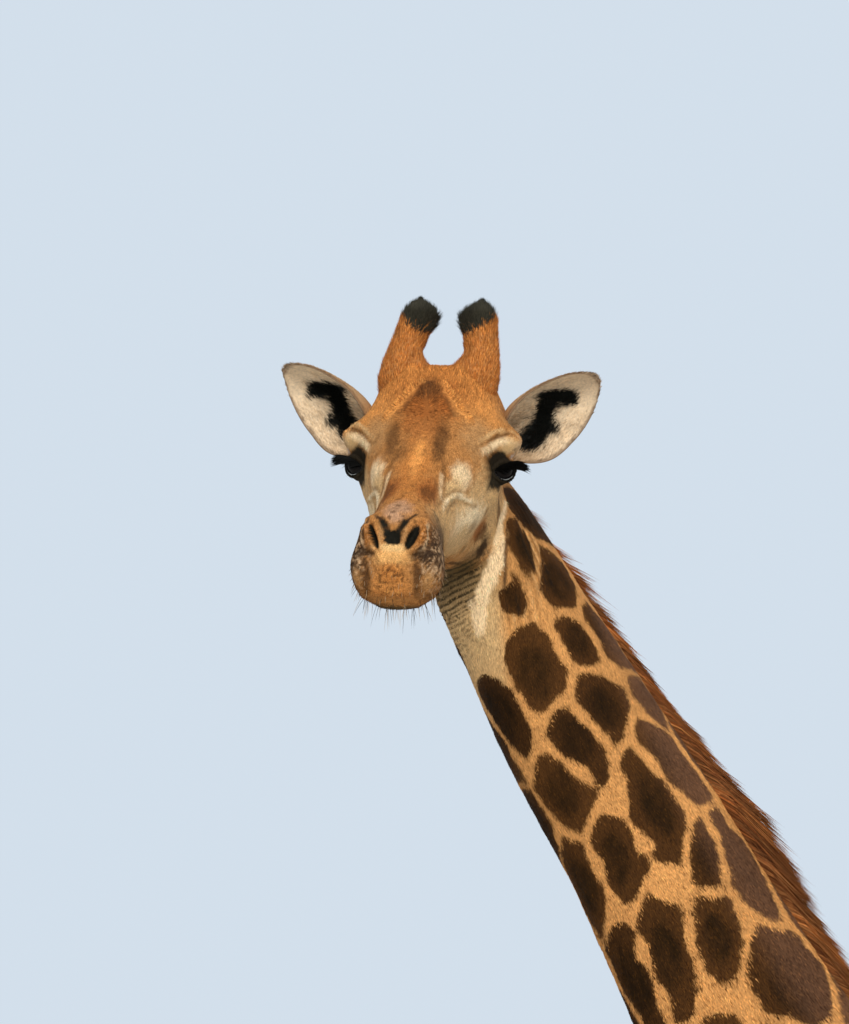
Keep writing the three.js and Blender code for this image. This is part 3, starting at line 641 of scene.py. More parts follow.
# Soft patches of colour on the face: place, reach, colour, strength. Both sides carry them.
FACE_COLOURS = [
    ((-50, 0, 120), (110, 120, 66), ORANGE, 0.85),
    ((0, 0, 116), (62, 50, 34), RUST, 0.9),  # the reddish middle of the forehead
    ((60, 0, 96), (64, 46, 36), RUST, 0.65),
    ((-20, 86, 80), (50, 34, 30), BRIGHT, 0.45),
    ((-70, 100, 20), (60, 50, 60), TAN, 0.8),
    ((230, 70, -30), (110, 42, 84), CREAM, 0.9),
    ((36, 76, 60), (44, 30, 34), TAN, 0.75),
    ((70, 90, -36), (120, 60, 62), CREAM, 0.85),
    ((-30, 70, -90), (110, 70, 70), CREAM, 0.8),
    ((200, 0, 56), (170, 36, 34), ORANGE, 0.9),
    ((140, -2, 62), (74, 14, 22), BRIGHT, 0.95),
    ((112, 28, 62), (34, 10, 18), UMBER, 0.45),
    ((126, 68, 27), (40, 22, 24), PALE, 1.0),
    ((170, 60, 14), (46, 22, 24), CREAM, 0.9),
    ((216, 46, 20), (40, 14, 16), TAN, 0.8),
    ((224, 31, 33), (44, 20, 22), RUST, 0.9),
    ((228, 32, 34), (26, 13, 16), UMBER, 0.55),
    ((112, 68, -60), (92, 46, 46), PALE, 0.8),
    ((104, 70, -62), (66, 40, 36), IVORY, 0.9),
    ((6, 122, 40), (34, 20, 15), CREAM, 0.9),  # the brow over the lid
    ((-16, 134, 26), (16, 16, 18), TAN, 0.8),
    ((296, 66, -34), (64, 34, 62), GREY_BROWN, 0.9),
    ((356, 62, -24), (52, 26, 42), GREY_BROWN, 0.92),
    ((318, 0, 37), (38, 25, 18), FAWN, 0.85),
    ((344, 0, 29), (16, 13, 12), FAWN, 0.8),
    ((362, 44, 8), (26, 13, 24), ORANGE, 0.95),
    ((386, 0, -20), (20, 34, 15), YELLOW, 1.0),
    ((378, 0, -8), (14, 30, 7), (0.93, 0.60, 0.26), 0.85),
    ((360, 18, 6), (26, 6, 20), TAN, 0.6),
    ((392, 0, -72), (22, 38, 34), (0.72, 0.30, 0.080), 0.95),
    ((396, 0, -44), (16, 20, 17), (0.50, 0.185, 0.042), 0.95),
    ((388, 0, -90), (30, 44, 14), GOLD, 0.7),
    # painted shade under the chin
    ((384, 0, -108), (34, 56, 11), OLIVE_SHADE, 0.9),
    ((0, 0, 124), (28, 22, 26), UMBER, 0.75),
    ((-30, 0, 134), (24, 15, 14), UMBER, 0.6),
    ((-20, 136, 34), (26, 20, 14), PALE, 0.55),
    ((352, 60, 4), (26, 13, 24), UMBER, 0.55),
    ((120, 58, -84), (100, 40, 40), CREAM, 0.85),
    ((0, 62, -136), (40, 26, 16), GREY_BROWN, 0.5),
    # painted shade under the jaw
    ((-30, 62, -172), (90, 60, 22), OLIVE_SHADE, 0.7),
]
FOREHEAD_BANDS = [((77, -47, 70), (60, 13, 30)), ((80, 29, 74), (60, 13, 30))]  # dark, right and left
FACE_MARKS = [  # smaller marks of the muzzle, cheek and jaw, on both sides
    ((389, 57, -60), (13, 10, 19), (0.62, 0.33, 0.12), 0.6),  # the corner of the upper lip
    ((376, 44, -19), (14, 24, 9), DARK, 0.8),  # under the wing of the nostril
    ((391, 39, -54), (16, 7, 34), UMBER, 0.9),  # the furrow beside the lip
    ((24, 80, -94), (14, 18, 22), UMBER, 0.55),
    ((88, 80, -64), (18, 18, 16), UMBER, 0.4),
    ((38, 92, -56), (9, 14, 11), UMBER, 0.5),
    ((-16, 80, -132), (19, 22, 26), DARK, 0.95),
    ((-56, 72, -144), (14, 18, 22), UMBER, 0.85),
    ((30, 80, -88), (27, 24, 24), RUST, 0.8),
    ((10, 82, -100), (20, 20, 18), UMBER, 0.75),
    ((-52, 90, -84), (14, 18, 34), UMBER, 0.75),
    ((-96, 88, -30), (16, 18, 26), UMBER, 0.7),
    ((60, 66, -112), (10, 16, 10), UMBER, 0.5),
]
FACE_STREAKS = [  # thin darker or paler lines, with their widths
    # painted shade along the creases between the nostrils, down to the hollow
    ([(330, 33, 32), (340, 26, 29), (350, 17, 22), (356, 11, 17)], 4, DARK, 0.95),
    ([(345, 21, 25), (352, 15, 20), (360, 9, 12), (367, 8, 6)], 6.5, BLACK, 0.97),
    ([(96, 34, 66), (140, 42, 46), (178, 48, 26), (206, 50, 12)], 4, UMBER, 0.5),
    ([(150, 40, 44), (168, 41, 35), (191, 44, 23), (206, 48, 11)], 3.5, PALE, 0.6),
    ([(330, 44, 24), (352, 52, 14), (371, 50, -8), (380, 40, -16)], 3.5, PALE, 0.6),
    ([(336, 38, 26), (356, 47, 14), (373, 45, -6), (381, 36, -14)], 2.5, DARK, 0.8),
    ([(226, 50, -4), (216, 51, 4), (187, 54, 9), (155, 63, 7), (137, 73, -3), (103, 81, -22)],
     4, IVORY, 0.85),
    # painted shade in the crease under the cheek's fold
    ([(212, 54, -8), (180, 57, -3), (152, 66, -6)], 3.5, GREY_BROWN, 0.5),
    ([(222, 48, 10), (196, 50, 17), (160, 60, 15), (134, 72, 6)], 3.5, UMBER, 0.5),
    ([(4, 128, 24), (-14, 134, 18)], 4.5, (0.88, 0.74, 0.62), 0.9),
    # the brow's folds: painted highlights on their ridges and painted shade in the creases between them
    ([(54, 86, 44), (35, 98, 47), (18, 107, 49), (3, 118, 48), (-10, 130, 41)], 6, PALE, 0.95),
    ([(54, 84, 54), (34, 96, 56), (13, 107, 59), (-6, 120, 57), (-20, 134, 46)], 3.5, UMBER, 0.8),
    ([(52, 80, 62), (33, 92, 63), (10, 104, 67), (-16, 122, 63), (-30, 134, 50)], 3.5, CREAM, 0.8),
    ([(46, 78, 70), (26, 90, 72), (2, 104, 74)], 3, UMBER, 0.45),
    # painted highlight along the ridge of the forehead's V and painted shade in the crease beside it
    ([(-40, 8, 138), (-6, 29, 124), (15, 51, 103), (28, 72, 80)], 7, BRIGHT, 0.75),
    ([(0, 10, 126), (12, 28, 112), (32, 46, 94)], 6, UMBER, 0.6),
    # painted shadow along the underside of the jaw
    ([(61, 35, -134), (21, 41, -148), (-2, 50, -154), (-14, 61, -152), (-19, 72, -144)], 5, DARK, 0.85),
]
# The pale band that runs down behind the jaw on to the throat, its half width, and where the face ends.
BEHIND_JAW = [
    (-100, 102, -84), (-59, 100, -100), (-46, 100, -128), (-40, 101, -143), (-34, 98, -158), (-28, 92, -172),
    (-24, 85, -187), (-22, 79, -203), (-21, 73, -220), (-22, 69, -237), (-22, 68, -253), (-21, 71, -269),
    (-18, 75, -284),
]
BAND_HALF = ([0, 0.2, 0.4, 0.6, 0.8, 1.0], [4, 7, 12, 12, 15, 11])
DARK_FOLD = [(-80, 113, -100), (-59, 111, -116), (-37, 110, -158), (-26, 111, -187), (-20, 108, -215)]
FACE_ENDS = (
    [-300, -240, -205, -172, -143, -122, -96, -81, -60, 0, 60, 120],
    [-20, -20, -21, -28, -38, -51, -71, -100, -115, -125, -140, -150],
)


def mix(colours, other, share):
    share = np.asarray(share)[:, None]
    return colours * (1 - share) + np.asarray(other) * share


def even_colour(colour, amount):
    return np.tile(np.array(colour, float), (amount, 1))


def blob(points, place, reach, rough):
    far = np.sqrt((((points - place) / reach) ** 2).sum(1))
    return smoothstep(1.28, 0.42, far + rough)


def face_colour(points):
    q, side = on_both_sides(in_head(points))
    rough = wobble(points, 0.022, 21) * 0.13 + wobble(points, 0.007, 22) * 0.11
    colour = even_colour(GOLD, len(points))
    for place, reach, paint, strength in FACE_COLOURS:
        colour = mix(colour, paint, blob(q, place, reach, rough) * strength)
    for place, reach in FOREHEAD_BANDS:
        colour = mix(colour, UMBER, blob(in_head(points), place, reach, rough) * 0.72)
    for line, width, paint, strength in FACE_STREAKS:
        far, share = to_line(q, line)
        ends = smoothstep(-0.02, 0.12, share) * smoothstep(1.02, 0.88, share)
        colour = mix(colour, paint, smoothstep(1.5, 0.4, far / width + rough) * strength * ends)
    # pale and dark flecks on the sides of the muzzle, and dark ones in the middle of the lip
    sides = blob(q, (352, 58, -36), (66, 34, 62), 0)
    flecks = 0.8 * wobble(points * 1000, 6.5, 23, 32) + 0.45 * wobble(points * 1000, 16, 27, 20)
    colour = mix(colour, MUZZLE_FLECK, smoothstep(0.1, 0.6, flecks) * sides * 0.8)
    colour = mix(colour, DARK, smoothstep(0.2, -0.5, flecks) * sides * 0.88)
    above = (q[:, 2] > 0) * (0.3 + 0.3 * smoothstep(180, 260, q[:, 0]))
    colour = mix(colour, UMBER, smoothstep(0.3, 0.95, wobble(points, 0.011, 26)) * above)
    lip = blob(q, (396, 0, -56), (24, 34, 36), 0)
    streaks = wobble(q * (1, 1, 0.5), 4.5, 24, 32)
    colour = mix(colour, UMBER, smoothstep(0.05, 0.6, streaks) * lip * 0.85)
    colour = mix(colour, BRIGHT, smoothstep(-0.2, -0.8, streaks) * lip * 0.6)
    for place, reach, paint, strength in FACE_MARKS:
        colour = mix(colour, paint, blob(q, place, reach, rough * 1.6) * strength)
    # painted shade: black in the sunk slits of the nostrils and in the hollow between them
    out = nostril_place(q)[2]
    slit = slit_distance(q, side)
    colour = mix(colour, BLACK, smoothstep(1.3, 1.0, slit + rough * 0.5) * (np.abs(out) < 26))
    drop = (q[:, 0] - 368) * -0.6 + (q[:, 2] - 6) * 0.8
    hollow = ((np.abs(q[:, 1]) / 13) ** 5 + (np.abs(drop) / 11.5) ** 5) ** (1 / 5)
    colour = mix(colour, BLACK, smoothstep(1.15, 0.9, hollow + rough) * (np.abs(q[:, 0] - 368) < 22))
    # dark skin round the eyes, widest above and before the eye
    fore, rise, away, facing = eye_angles(q)
    ring = [tuple(place) for place in lid_edge(np.linspace(0, 2 * math.pi, 25), 3.0)]
    far, _ = to_line(q, ring)
    reach = 11 + 14 * smoothstep(-0.2, 0.7, fore)
    reach = reach + 6 * smoothstep(0.2, 0.8, rise) * smoothstep(-0.7, 0.0, fore)
    inside = (lid_edge_distance(fore, rise) < 0) & (away < 40) & (facing > 0)
    round_eye = np.maximum(smoothstep(1.12, 0.68, far / reach + rough * 0.8), inside)
    return mix(colour, BLACK, round_eye * 0.98)


def throat_colour(colour, points, on_face):
    """The throat: olive wrinkles under the jaw with painted shade in them, painted shade and light on the
    neck's folds, dark folds beside, and the pale band behind the jaw.
    """
    down, around = SPINE.locate(points)
    turn = np.degrees(around) % 360 - 180  # from the throat's middle to the animal's right
    under = smoothstep(-34, -18, turn) * smoothstep(84, 62, turn) * smoothstep(0.02, 0.08, down)
    under = under * smoothstep(0.42, 0.27, down) * (1 - on_face)
    wave, place = throat_waves(points)
    colour = mix(colour, THROAT_TAN, under * 0.85)
    # the throat's darker olive under the jaw, deepened there as painted shade
    colour = mix(colour, OLIVE_SHADE, np.maximum(under, place) * smoothstep(0.23, 0.13, down) * 0.95)
    deep = 0.9 - 0.35 * smoothstep(0.19, 0.25, down)
    # painted shade in the troughs of the wrinkles
    colour = mix(colour, WRINKLE_SHADE, smoothstep(0.2, -0.6, wave) * deep)
    # painted shade and painted light across the neck's folds
    fold = neck_folds(points)[0]
    colour = mix(colour, UMBER, smoothstep(0.35, 0.95, fold) * 0.5)
    colour = mix(colour, CREAM, smoothstep(-0.4, -0.95, fold) * 0.4)
    q, _ = on_both_sides(in_head(points))
    far, share = to_line(q, BEHIND_JAW)
    half = np.interp(share, *BAND_HALF)
    band = smoothstep(1.25, 0.6, far / half + 0.25 * wobble(points, 0.02, 25)) * smoothstep(1.0, 0.93, share)
    colour = mix(colour, PALE, band * 0.9)
    fold, along = to_line(q, DARK_FOLD)
    ends = smoothstep(0, 0.2, along) * smoothstep(1, 0.8, along)
    return mix(colour, DARK, smoothstep(4.5, 1.5, fold) * ends * 0.8), band


# ---------------------------------------------------------------- the patches

# The patches of the neck's left side: millimetres down the neck, degrees round it from the crest, half
# the length, half the width, and degrees by which the patch leans to the throat on its way down.
LEFT_PATCHES = [
    (150, 124, 46, 28, 0), (220, 143, 34, 19, 0), (224, 88, 52, 44, 0), (108, 92, 62, 32, -34),
    (348, 129, 66, 42, 12), (324, 84, 44, 30, 0), (341, 44, 62, 32, -13), (440, 78, 55, 41, 0),
    (468, 110, 60, 37, -4), (374, 171, 70, 46, 0), (527, 137, 60, 38, 14), (462, 27, 46, 30, 0),
    (566, 42, 80, 34, -10), (618, 72, 84, 36, 8), (660, 120, 64, 34, 15), (670, 158, 74, 40, 4),
    (722, 56, 50, 27, 20), (765, 29, 94, 30, 0), (840, 79, 60, 35, 18), (828, 118, 84, 35, 15),
    (842, 151, 88, 38, 4), (962, 46, 90, 60, 4), (1020, 109, 76, 36, 10), (850, 4, 50, 22, 0),
    (560, 9, 64, 20, 0), (250, 24, 60, 26, 0), (545, 178, 60, 34, 0), (930, 178, 80, 36, 0),
]


class Patches:
    """Seeds of the coat's patches. Each has its own half length and width, and the pale lines run where
    two of them are equally near."""

    def __init__(self, line=0.0070, reach=1.24, power=1.7):
        self.line, self.reach, self.power = line, reach, power
        self.rows = []
        self.placed = 0

    def add(self, centre, long, half_length, half_width):
        self.rows.append((*centre, *long, half_length, half_width))

    def settle(self, tree):
        """Lays the seeds on the skin, drops those without room, and gives each its own tone."""
        rows = np.array(self.rows)
        centre = np.array([tree.find_nearest(row[:3].tolist())[0][:] for row in rows])
        kept = list(range(self.placed))
        for index in range(self.placed, len(rows)):
            if np.linalg.norm(centre[kept] - centre[index], axis=1).min() > 1.35 * rows[index, 7]:
                kept.append(index)
        rows, self.centre = rows[kept], centre[kept]
        self.long = unit(rows[:, 3:6])
        self.size = rows[:, 6:8]
        self.tone = np.random.default_rng(31).uniform(0.72, 1.3, len(rows))

    def _distances(self, points, chosen):
        offset = points[:, None] - self.centre[chosen][None]
        along = np.abs((offset * self.long[chosen]).sum(2))
        across = np.sqrt(np.maximum((offset ** 2).sum(2) - along ** 2, 0))
        a, b = self.size[chosen].T
        p = self.power
        far = ((along / a) ** p + (across / b) ** p) ** (1 / p)
        far = np.maximum(far, 1e-3)
        steep = far ** (1 - p) * np.hypot(along ** (p - 1) / a ** p, across ** (p - 1) / b ** p)
        return far, np.maximum(steep, 1e-3)

    def read(self, points):
        """How far inside a patch each point is, in metres, and the tone and middle of that patch."""
        edge, tone, middle = (np.zeros(len(points)) for _ in range(3))
        order = np.lexsort((np.floor(points[:, 0] / 0.25), np.floor(points[:, 2] / 0.25)))
        for part in np.array_split(order, max(1, len(points) // 1500)):
            here = points[part]
            low, high = here.min(0) - 0.32, here.max(0) + 0.32
            chosen = np.where(((self.centre > low) & (self.centre < high)).all(1))[0]
            if len(chosen) < 3:
                edge[part] = -0.1
                continue
            far, steep = self._distances(here, chosen)
            rank = np.argpartition(far, 2, axis=1)[:, :3]
            rank = np.take_along_axis(rank, np.take_along_axis(far, rank, 1).argsort(1), 1)
            f, g = np.take_along_axis(far, rank, 1), np.take_along_axis(steep, rank, 1)
            soft = 0.09
            second = f[:, 1] - soft * np.log1p(np.exp(-(f[:, 2] - f[:, 1]) / soft))
            between = (second - f[:, 0]) / (g[:, 0] + g[:, 1]) - self.line
            own = (self.reach - f[:, 0]) / g[:, 0]
            frayed = wobble(here, 0.085, 32) * 0.008 + wobble(here, 0.03, 33) * 0.004
            edge[part] = np.minimum(between + frayed * 0.5, own + frayed)
            tone[part] = self.tone[chosen][rank[:, 0]]
            middle[part] = smoothstep(0.9, 0.1, f[:, 0])
        return edge, tone, middle


def neck_frame(down, degrees):
    at = np.clip(np.searchsorted(SPINE.down, down), 0, len(SPINE.down) - 1)
    turn = math.radians(degrees)
    centre = SPINE.point(np.array([down]), np.array([turn]))[0]
    to_throat = SPINE.side[at] * math.cos(turn) - SPINE.crest[at] * math.sin(turn)
    return centre, SPINE.along[at], to_throat * (1 if degrees >= 0 else -1)


def scatter_patches(tree, leg_middle):
    patches = Patches()
    jitter = np.random.default_rng(5)
    for down, around, length, width, lean in LEFT_PATCHES:
        for side, shift in ((1, 0), (-1, 38)):
            if side < 0 and (around < 12 or around > 174):
                continue
            centre, along, throat = neck_frame((down + shift) / 1000, side * around)
            lean_by = math.radians(lean + (0 if side > 0 else jitter.uniform(-8, 8)))
            grow = 1 if side > 0 else jitter.uniform(0.92, 1.12)
            patches.add(centre, along * math.cos(lean_by) + throat * math.sin(lean_by),
                        length * grow / 1000, width * grow / 1000)
    patches.placed = len(patches.rows)
    down, row = 1.14, 0
    while down < 2.05:
        at = np.searchsorted(SPINE.down, down)
        count = max(6, round(2 * math.pi * SPINE.deep[at] / 0.19))
        for index in range(count):
            turn = (index + 0.5 * (row % 2) + jitter.uniform(-0.16, 0.16)) * 360 / count - 180
            centre, along, throat = neck_frame(down + jitter.uniform(-0.03, 0.03), turn)
            patches.add(centre, along + throat * jitter.uniform(-0.3, 0.3),
                        jitter.uniform(0.105, 0.125), jitter.uniform(0.078, 0.096))
        down += 0.165
        row += 1
    for row, forward in enumerate(np.arange(0.60, -0.86, -0.175)):
        for index in range(12):
            turn = (index + 0.5 * (row % 2) + jitter.uniform(-0.16, 0.16)) * math.pi / 6
            ahead = forward + jitter.uniform(-0.03, 0.03)
            centre = on_animal(ahead, 0.36 * math.sin(turn), 2.08 + 0.5 * math.cos(turn))
            patches.add(centre, (1, 0, jitter.uniform(-0.8, 0.8)),
                        jitter.uniform(0.10, 0.125), jitter.uniform(0.085, 0.105))
    for forward, left in ((-1.0, -0.15), (-1.0, 0.15), (0.95, -0.12), (0.95, 0.12)):  # rump and breast
        for height in (1.62, 1.80, 1.98, 2.16):
            centre = on_animal(forward, left, height + jitter.uniform(-0.02, 0.02))
            patches.add(centre, (0, 0.2 * left, 1), 0.11, 0.085)
    for leg in LEGS:
        height, row = 1.56, 0
        while height > 0.14:
            middle, wide = leg_middle(leg, height)
            half = np.interp(height, [0.15, 0.5, 0.9, 1.5], [0.014, 0.024, 0.042, 0.074])
            count = max(3, round(2 * math.pi * wide / (2.3 * half)))
            for index in range(count):
                turn = (index + 0.5 * (row % 2) + jitter.uniform(-0.2, 0.2)) * 2 * math.pi / count
                centre = middle + np.array([math.cos(turn), math.sin(turn), 0]) * wide
                centre[2] += jitter.uniform(-0.25, 0.25) * half
                long, wide_half = half * jitter.uniform(1.0, 1.3), half * jitter.uniform(0.8, 1.0)
                patches.add(centre, (0, 0, 1), long, wide_half)
            height -= 2.1 * half
            row += 1
    patches.settle(tree)
    return patches


class Coat:
    """The markings of skin and hair alike: a ground colour, the patches on it, and the face."""

    def __init__(self, tree, leg_middle):
        self.patches = scatter_patches(tree, leg_middle)

    def ground(self, points, normals):
        height = points[:, 2]
        colour = even_colour(HONEY, len(points))
        shade = wobble(points, 0.35, 41) * 0.12 + wobble(points, 0.03, 42) * 0.06
        colour = colour * (1 + shade[:, None])
        colour = mix(colour, TAN, smoothstep(2.2, 1.5, height) * 0.7)
        colour = mix(colour, CREAM, smoothstep(1.1, 0.5, height) * 0.55)
        belly = smoothstep(-0.2, -0.8, normals[:, 2]) * smoothstep(2.3, 1.9, height)
        return mix(colour, CREAM, belly * 0.8)

    def patch(self, points, tone, middle):
        height = points[:, 2]
        colour = even_colour(PATCH_EDGE, len(points))
        mottle = 0.5 + 0.5 * wobble(points, 0.03, 44)
        colour = mix(colour, PATCH_MIDDLE, smoothstep(-0.2, 0.5, middle) * (0.55 + 0.4 * mottle))
        around = np.abs(np.degrees(SPINE.locate(points)[1]))
        colour = mix(colour, PATCH_AT_CREST, smoothstep(62, 30, around) * (height > 2.9) * 0.7)
        colour = mix(colour, PATCH_ON_TRUNK, smoothstep(2.9, 1.6, height) * 0.5)
        colour = mix(colour, PATCH_ON_LEG, smoothstep(1.0, 0.4, height) * 0.7)
        return colour * tone[:, None]

    def read(self, points, normals):
        """Ground colour, patch colour and how far inside a patch each point is, in millimetres."""
        edge, tone, middle = self.patches.read(points)
        ground, patch = self.ground(points, normals), self.patch(points, tone, middle)
        down, around = SPINE.locate(points)
        face = near_head(points, back=-260) | ((down < 0.45) & (points[:, 2] > 3.5))
        q = in_head(points[face])
        on_face = smoothstep(-6, 8, q[:, 0] - np.interp(q[:, 2], *FACE_ENDS))
        on_face = on_face * smoothstep(-210, -170, q[:, 2])
        ground[face] = mix(ground[face], face_colour(points[face]), on_face)
        ground[face], band = throat_colour(ground[face], points[face], on_face)
        edge[face] -= np.maximum(on_face, band) * 0.12
        throat = smoothstep(152, 166, np.degrees(np.abs(around))) * smoothstep(0.34, 0.26, down)
        throat = throat * (points[:, 2] > 3.5)
        # painted shade of the neck's folds, laid darker over the patches
        folds = smoothstep(0.4, 0.9, neck_folds(points[face])[0])
        patch[face] = mix(patch[face], BLACK, folds * 0.6)
        return ground, patch, edge * 1000 - 60 * throat

    def colour(self, points, normals):
        """The colour of single tufts: mostly that of their place, with brighter and darker ones among."""
        ground, patch, edge = self.read(points, normals)
        ragged = wobble(points, 0.016, 51) * 2.2 + random.normal(size=len(points)) * 2.2
        colour = mix(ground, patch, smoothstep(-2.5, 2.5, edge + ragged))
        colour = colour * (1 + 0.15 * wobble(points, 0.011, 52) + 0.10 * wobble(points, 0.035, 53))[:, None]
        chance = random.uniform(size=len(points))
        bright = np.clip(colour * (1.5, 1.45, 1.35) + (0.016, 0.006, 0.0), 0, 1)
        colour = np.where((chance < 0.22)[:, None], bright, colour)
        return np.where((chance > 0.80)[:, None], colour * (0.52, 0.46, 0.42), colour)


# ---------------------------------------------------------------- materials


class Finish:
    """A material with its shader at hand."""

    def __init__(self, name, roughness=0.6, **settings):
        self.material = bpy.data.materials.new(name)
        self.material.use_nodes = True
        self.tree = self.material.node_tree
        self.shader = self.tree.nodes["Principled BSDF"]
        self.shader.inputs["Roughness"].default_value = roughness
        for socket, value in settings.items():
            self.shader.inputs[socket.replace("_", " ")].default_value = value

    def node(self, kind, inputs=None, **settings):
        made = self.tree.nodes.new(kind)
        for name, value in settings.items():
            setattr(made, name, value)
        for name, value in (inputs or {}).items():
            socket = made.inputs[name]
            if isinstance(value, bpy.types.NodeSocket):
                self.tree.links.new(value, socket)
            else:
                socket.default_value = value
        return made

    def attribute(self, name, output="Color"):
        return self.node("ShaderNodeAttribute", attribute_name=name).outputs[output]

    def places(self):
        return self.node("ShaderNodeTexCoord").outputs["Object"]

    def noise(self, scale, detail=3.0, roughness=0.5, vector=None):
        inputs = {"Scale": scale, "Detail": detail, "Roughness": roughness, "Vector": vector or self.places()}
        return self.node("ShaderNodeTexNoise", inputs).outputs["Fac"]

    def maths(self, operation, a, b):
        return self.node("ShaderNodeMath", {0: a, 1: b}, operation=operation).outputs[0]

    def spread(self, value, low, high, to_low=0.0, to_high=1.0):
        inputs = {"Value": value, "From Min": low, "From Max": high, "To Min": to_low, "To Max": to_high}
        return self.node("ShaderNodeMapRange", inputs).outputs["Result"]

    def blend(self, share, a, b, kind="MIX"):
        made = self.node("ShaderNodeMix", data_type="RGBA", blend_type=kind)
        for socket, value in ((made.inputs[0], share), (made.inputs[6], a), (made.inputs[7], b)):
            if isinstance(value, bpy.types.NodeSocket):
                self.tree.links.new(value, socket)
            elif isinstance(value, (tuple, list)):
                socket.default_value = (*value, 1.0)
            else:
                socket.default_value = value
        return made.outputs[2]

    def shaded(self, colour, tone):
        """The colour made lighter or darker by a number."""
        grey = self.node("ShaderNodeCombineColor", {"Red": tone, "Green": tone, "Blue": tone}).outputs[0]
        return self.blend(1.0, colour, grey, "MULTIPLY")

    def paint(self, colour, roughness=None, bump=None, strength=0.3, distance=0.001):
        self.tree.links.new(colour, self.shader.inputs["Base Color"])
        if roughness is not None:
            self.tree.links.new(roughness, self.shader.inputs["Roughness"])
        if bump is not None:
            inputs = {"Height": bump, "Strength": strength, "Distance": distance}
            made = self.node("ShaderNodeBump", inputs)
            self.tree.links.new(made.outputs["Normal"], self.shader.inputs["Normal"])
        return self.material


def skin_finish():
    """Short hair over the hide: ground colour, patches with frayed edges, and streaks along the hair."""
    coat = Finish("giraffe hide", 0.8, Specular_IOR_Level=0.06)
    nap = coat.attribute("nap", "Vector")
    hairs = coat.noise(760, 2, 0.6, nap)
    locks = coat.noise(190, 2, 0.5, nap)
    fray = coat.maths("ADD", coat.spread(hairs, 0.3, 0.7, -3.0, 3.0), coat.spread(locks, 0.3, 0.7, -2.0, 2.0))
    share = coat.spread(coat.maths("ADD", coat.attribute("edge", "Fac"), fray), -2.0, 2.0)
    colour = coat.blend(share, coat.attribute("ground"), coat.attribute("patch"))
    fine, coarse = coat.spread(hairs, 0.3, 0.7, 0.58, 1.34), coat.spread(locks, 0.3, 0.7, 0.86, 1.12)
    colour = coat.shaded(colour, coat.maths("MULTIPLY", fine, coarse))
    return coat.paint(colour, coat.spread(hairs, 0.3, 0.7, 0.62, 0.82), hairs, 0.6, 0.0014)


def hair_finish(name, roughness, gloss=0.25, spread=0.16):
    """Hair that carries its own colour, with a little change from hair to hair."""
    hair = Finish(name, roughness, Specular_IOR_Level=gloss)
    speck = hair.spread(hair.noise(240, 2), 0.3, 0.7, 1 - spread, 1 + spread)
    colour = hair.shaded(hair.attribute("hair"), speck)
    return hair.paint(colour, hair.spread(hair.noise(90, 2), 0.3, 0.7, roughness - 0.08, roughness + 0.08))


def ear_finish():
    ear = Finish("ear skin and down", 0.75, Specular_IOR_Level=0.2)
    nap = ear.noise(300, 3)
    colour = ear.shaded(ear.attribute("ground"), ear.spread(nap, 0.3, 0.7, 0.8, 1.12))
    return ear.paint(colour, ear.spread(nap, 0.3, 0.7, 0.62, 0.82), nap, 0.4, 0.001)


# The colours of the eye from the pupil's edge outwards.
IRIS_RINGS = [
    (0.28, (0.002, 0.002, 0.003)), (0.36, (0.006, 0.004, 0.003)), (0.62, (0.008, 0.005, 0.004)),
    (0.74, (0.005, 0.004, 0.004)),
]


def eye_finish():
    """A wet, nearly black ball: a brown iris with a long dark pupil under a clear cover."""
    eye = Finish("wet eye", 0.05, Specular_IOR_Level=0.12)
    share = eye.spread(eye.attribute("iris", "Fac"), 0.0, 1.0)
    ring = eye.node("ShaderNodeValToRGB", {"Fac": share})
    ramp = ring.color_ramp
    ramp.elements[0].color = (0.002, 0.002, 0.003, 1)
    ramp.elements[1].color = (0.004, 0.003, 0.003, 1)
    for place, colour in IRIS_RINGS:
        ramp.elements.new(place).color = (*colour, 1)
    streaks = eye.spread(eye.noise(700, 2), 0.3, 0.7, 0.7, 1.3)
    return eye.paint(eye.shaded(ring.outputs["Color"], streaks))


def lid_finish():
    lid = Finish("wet lid rim", 0.35, Specular_IOR_Level=0.3)
    grain = lid.noise(500, 3)
    colour = lid.blend(lid.spread(grain, 0.35, 0.65), (0.004, 0.004, 0.004), (0.012, 0.010, 0.009))
    return lid.paint(colour, lid.spread(grain, 0.3, 0.7, 0.18, 0.36), grain, 0.3, 0.0005)


# Painted highlights: pale, glossy lines standing in for the light reflected along the wet lids.
def eye_highlight_finish():
    highlight_paint = Finish("painted eye highlight", 0.12)
    grain = highlight_paint.noise(400, 2)
    return highlight_paint.paint(highlight_paint.blend(highlight_paint.spread(grain, 0.35, 0.65), (0.34, 0.37, 0.37), (0.55, 0.58, 0.58)))


def hoof_finish():
    """Dull horn with growth rings round the hoof, scuffed and dusty towards the ground."""
    hoof = Finish("hoof horn", 0.55)
    places = hoof.places()
    waves = {"Vector": places, "Scale": 22.0, "Distortion": 3.0, "Detail": 3.0}
    rings = hoof.node("ShaderNodeTexWave", waves, wave_type="BANDS", bands_direction="Z").outputs["Fac"]
    grain = hoof.noise(90, 5)
    height = hoof.node("ShaderNodeSeparateXYZ", {"Vector": places}).outputs["Z"]
    colour = hoof.blend(hoof.spread(rings, 0.2, 0.8), (0.045, 0.034, 0.026), (0.085, 0.065, 0.048))
    dust = hoof.maths("MULTIPLY", hoof.spread(height, 0.0, 0.05, 1.0, 0.0), hoof.spread(grain, 0.4, 0.7))
    colour = hoof.blend(dust, colour, (0.21, 0.17, 0.125))
    return hoof.paint(colour, hoof.spread(grain, 0.3, 0.7, 0.45, 0.7),
                      hoof.maths("ADD", rings, grain), 0.35, 0.0012)


# ---------------------------------------------------------------- hair, as joined solid meshes


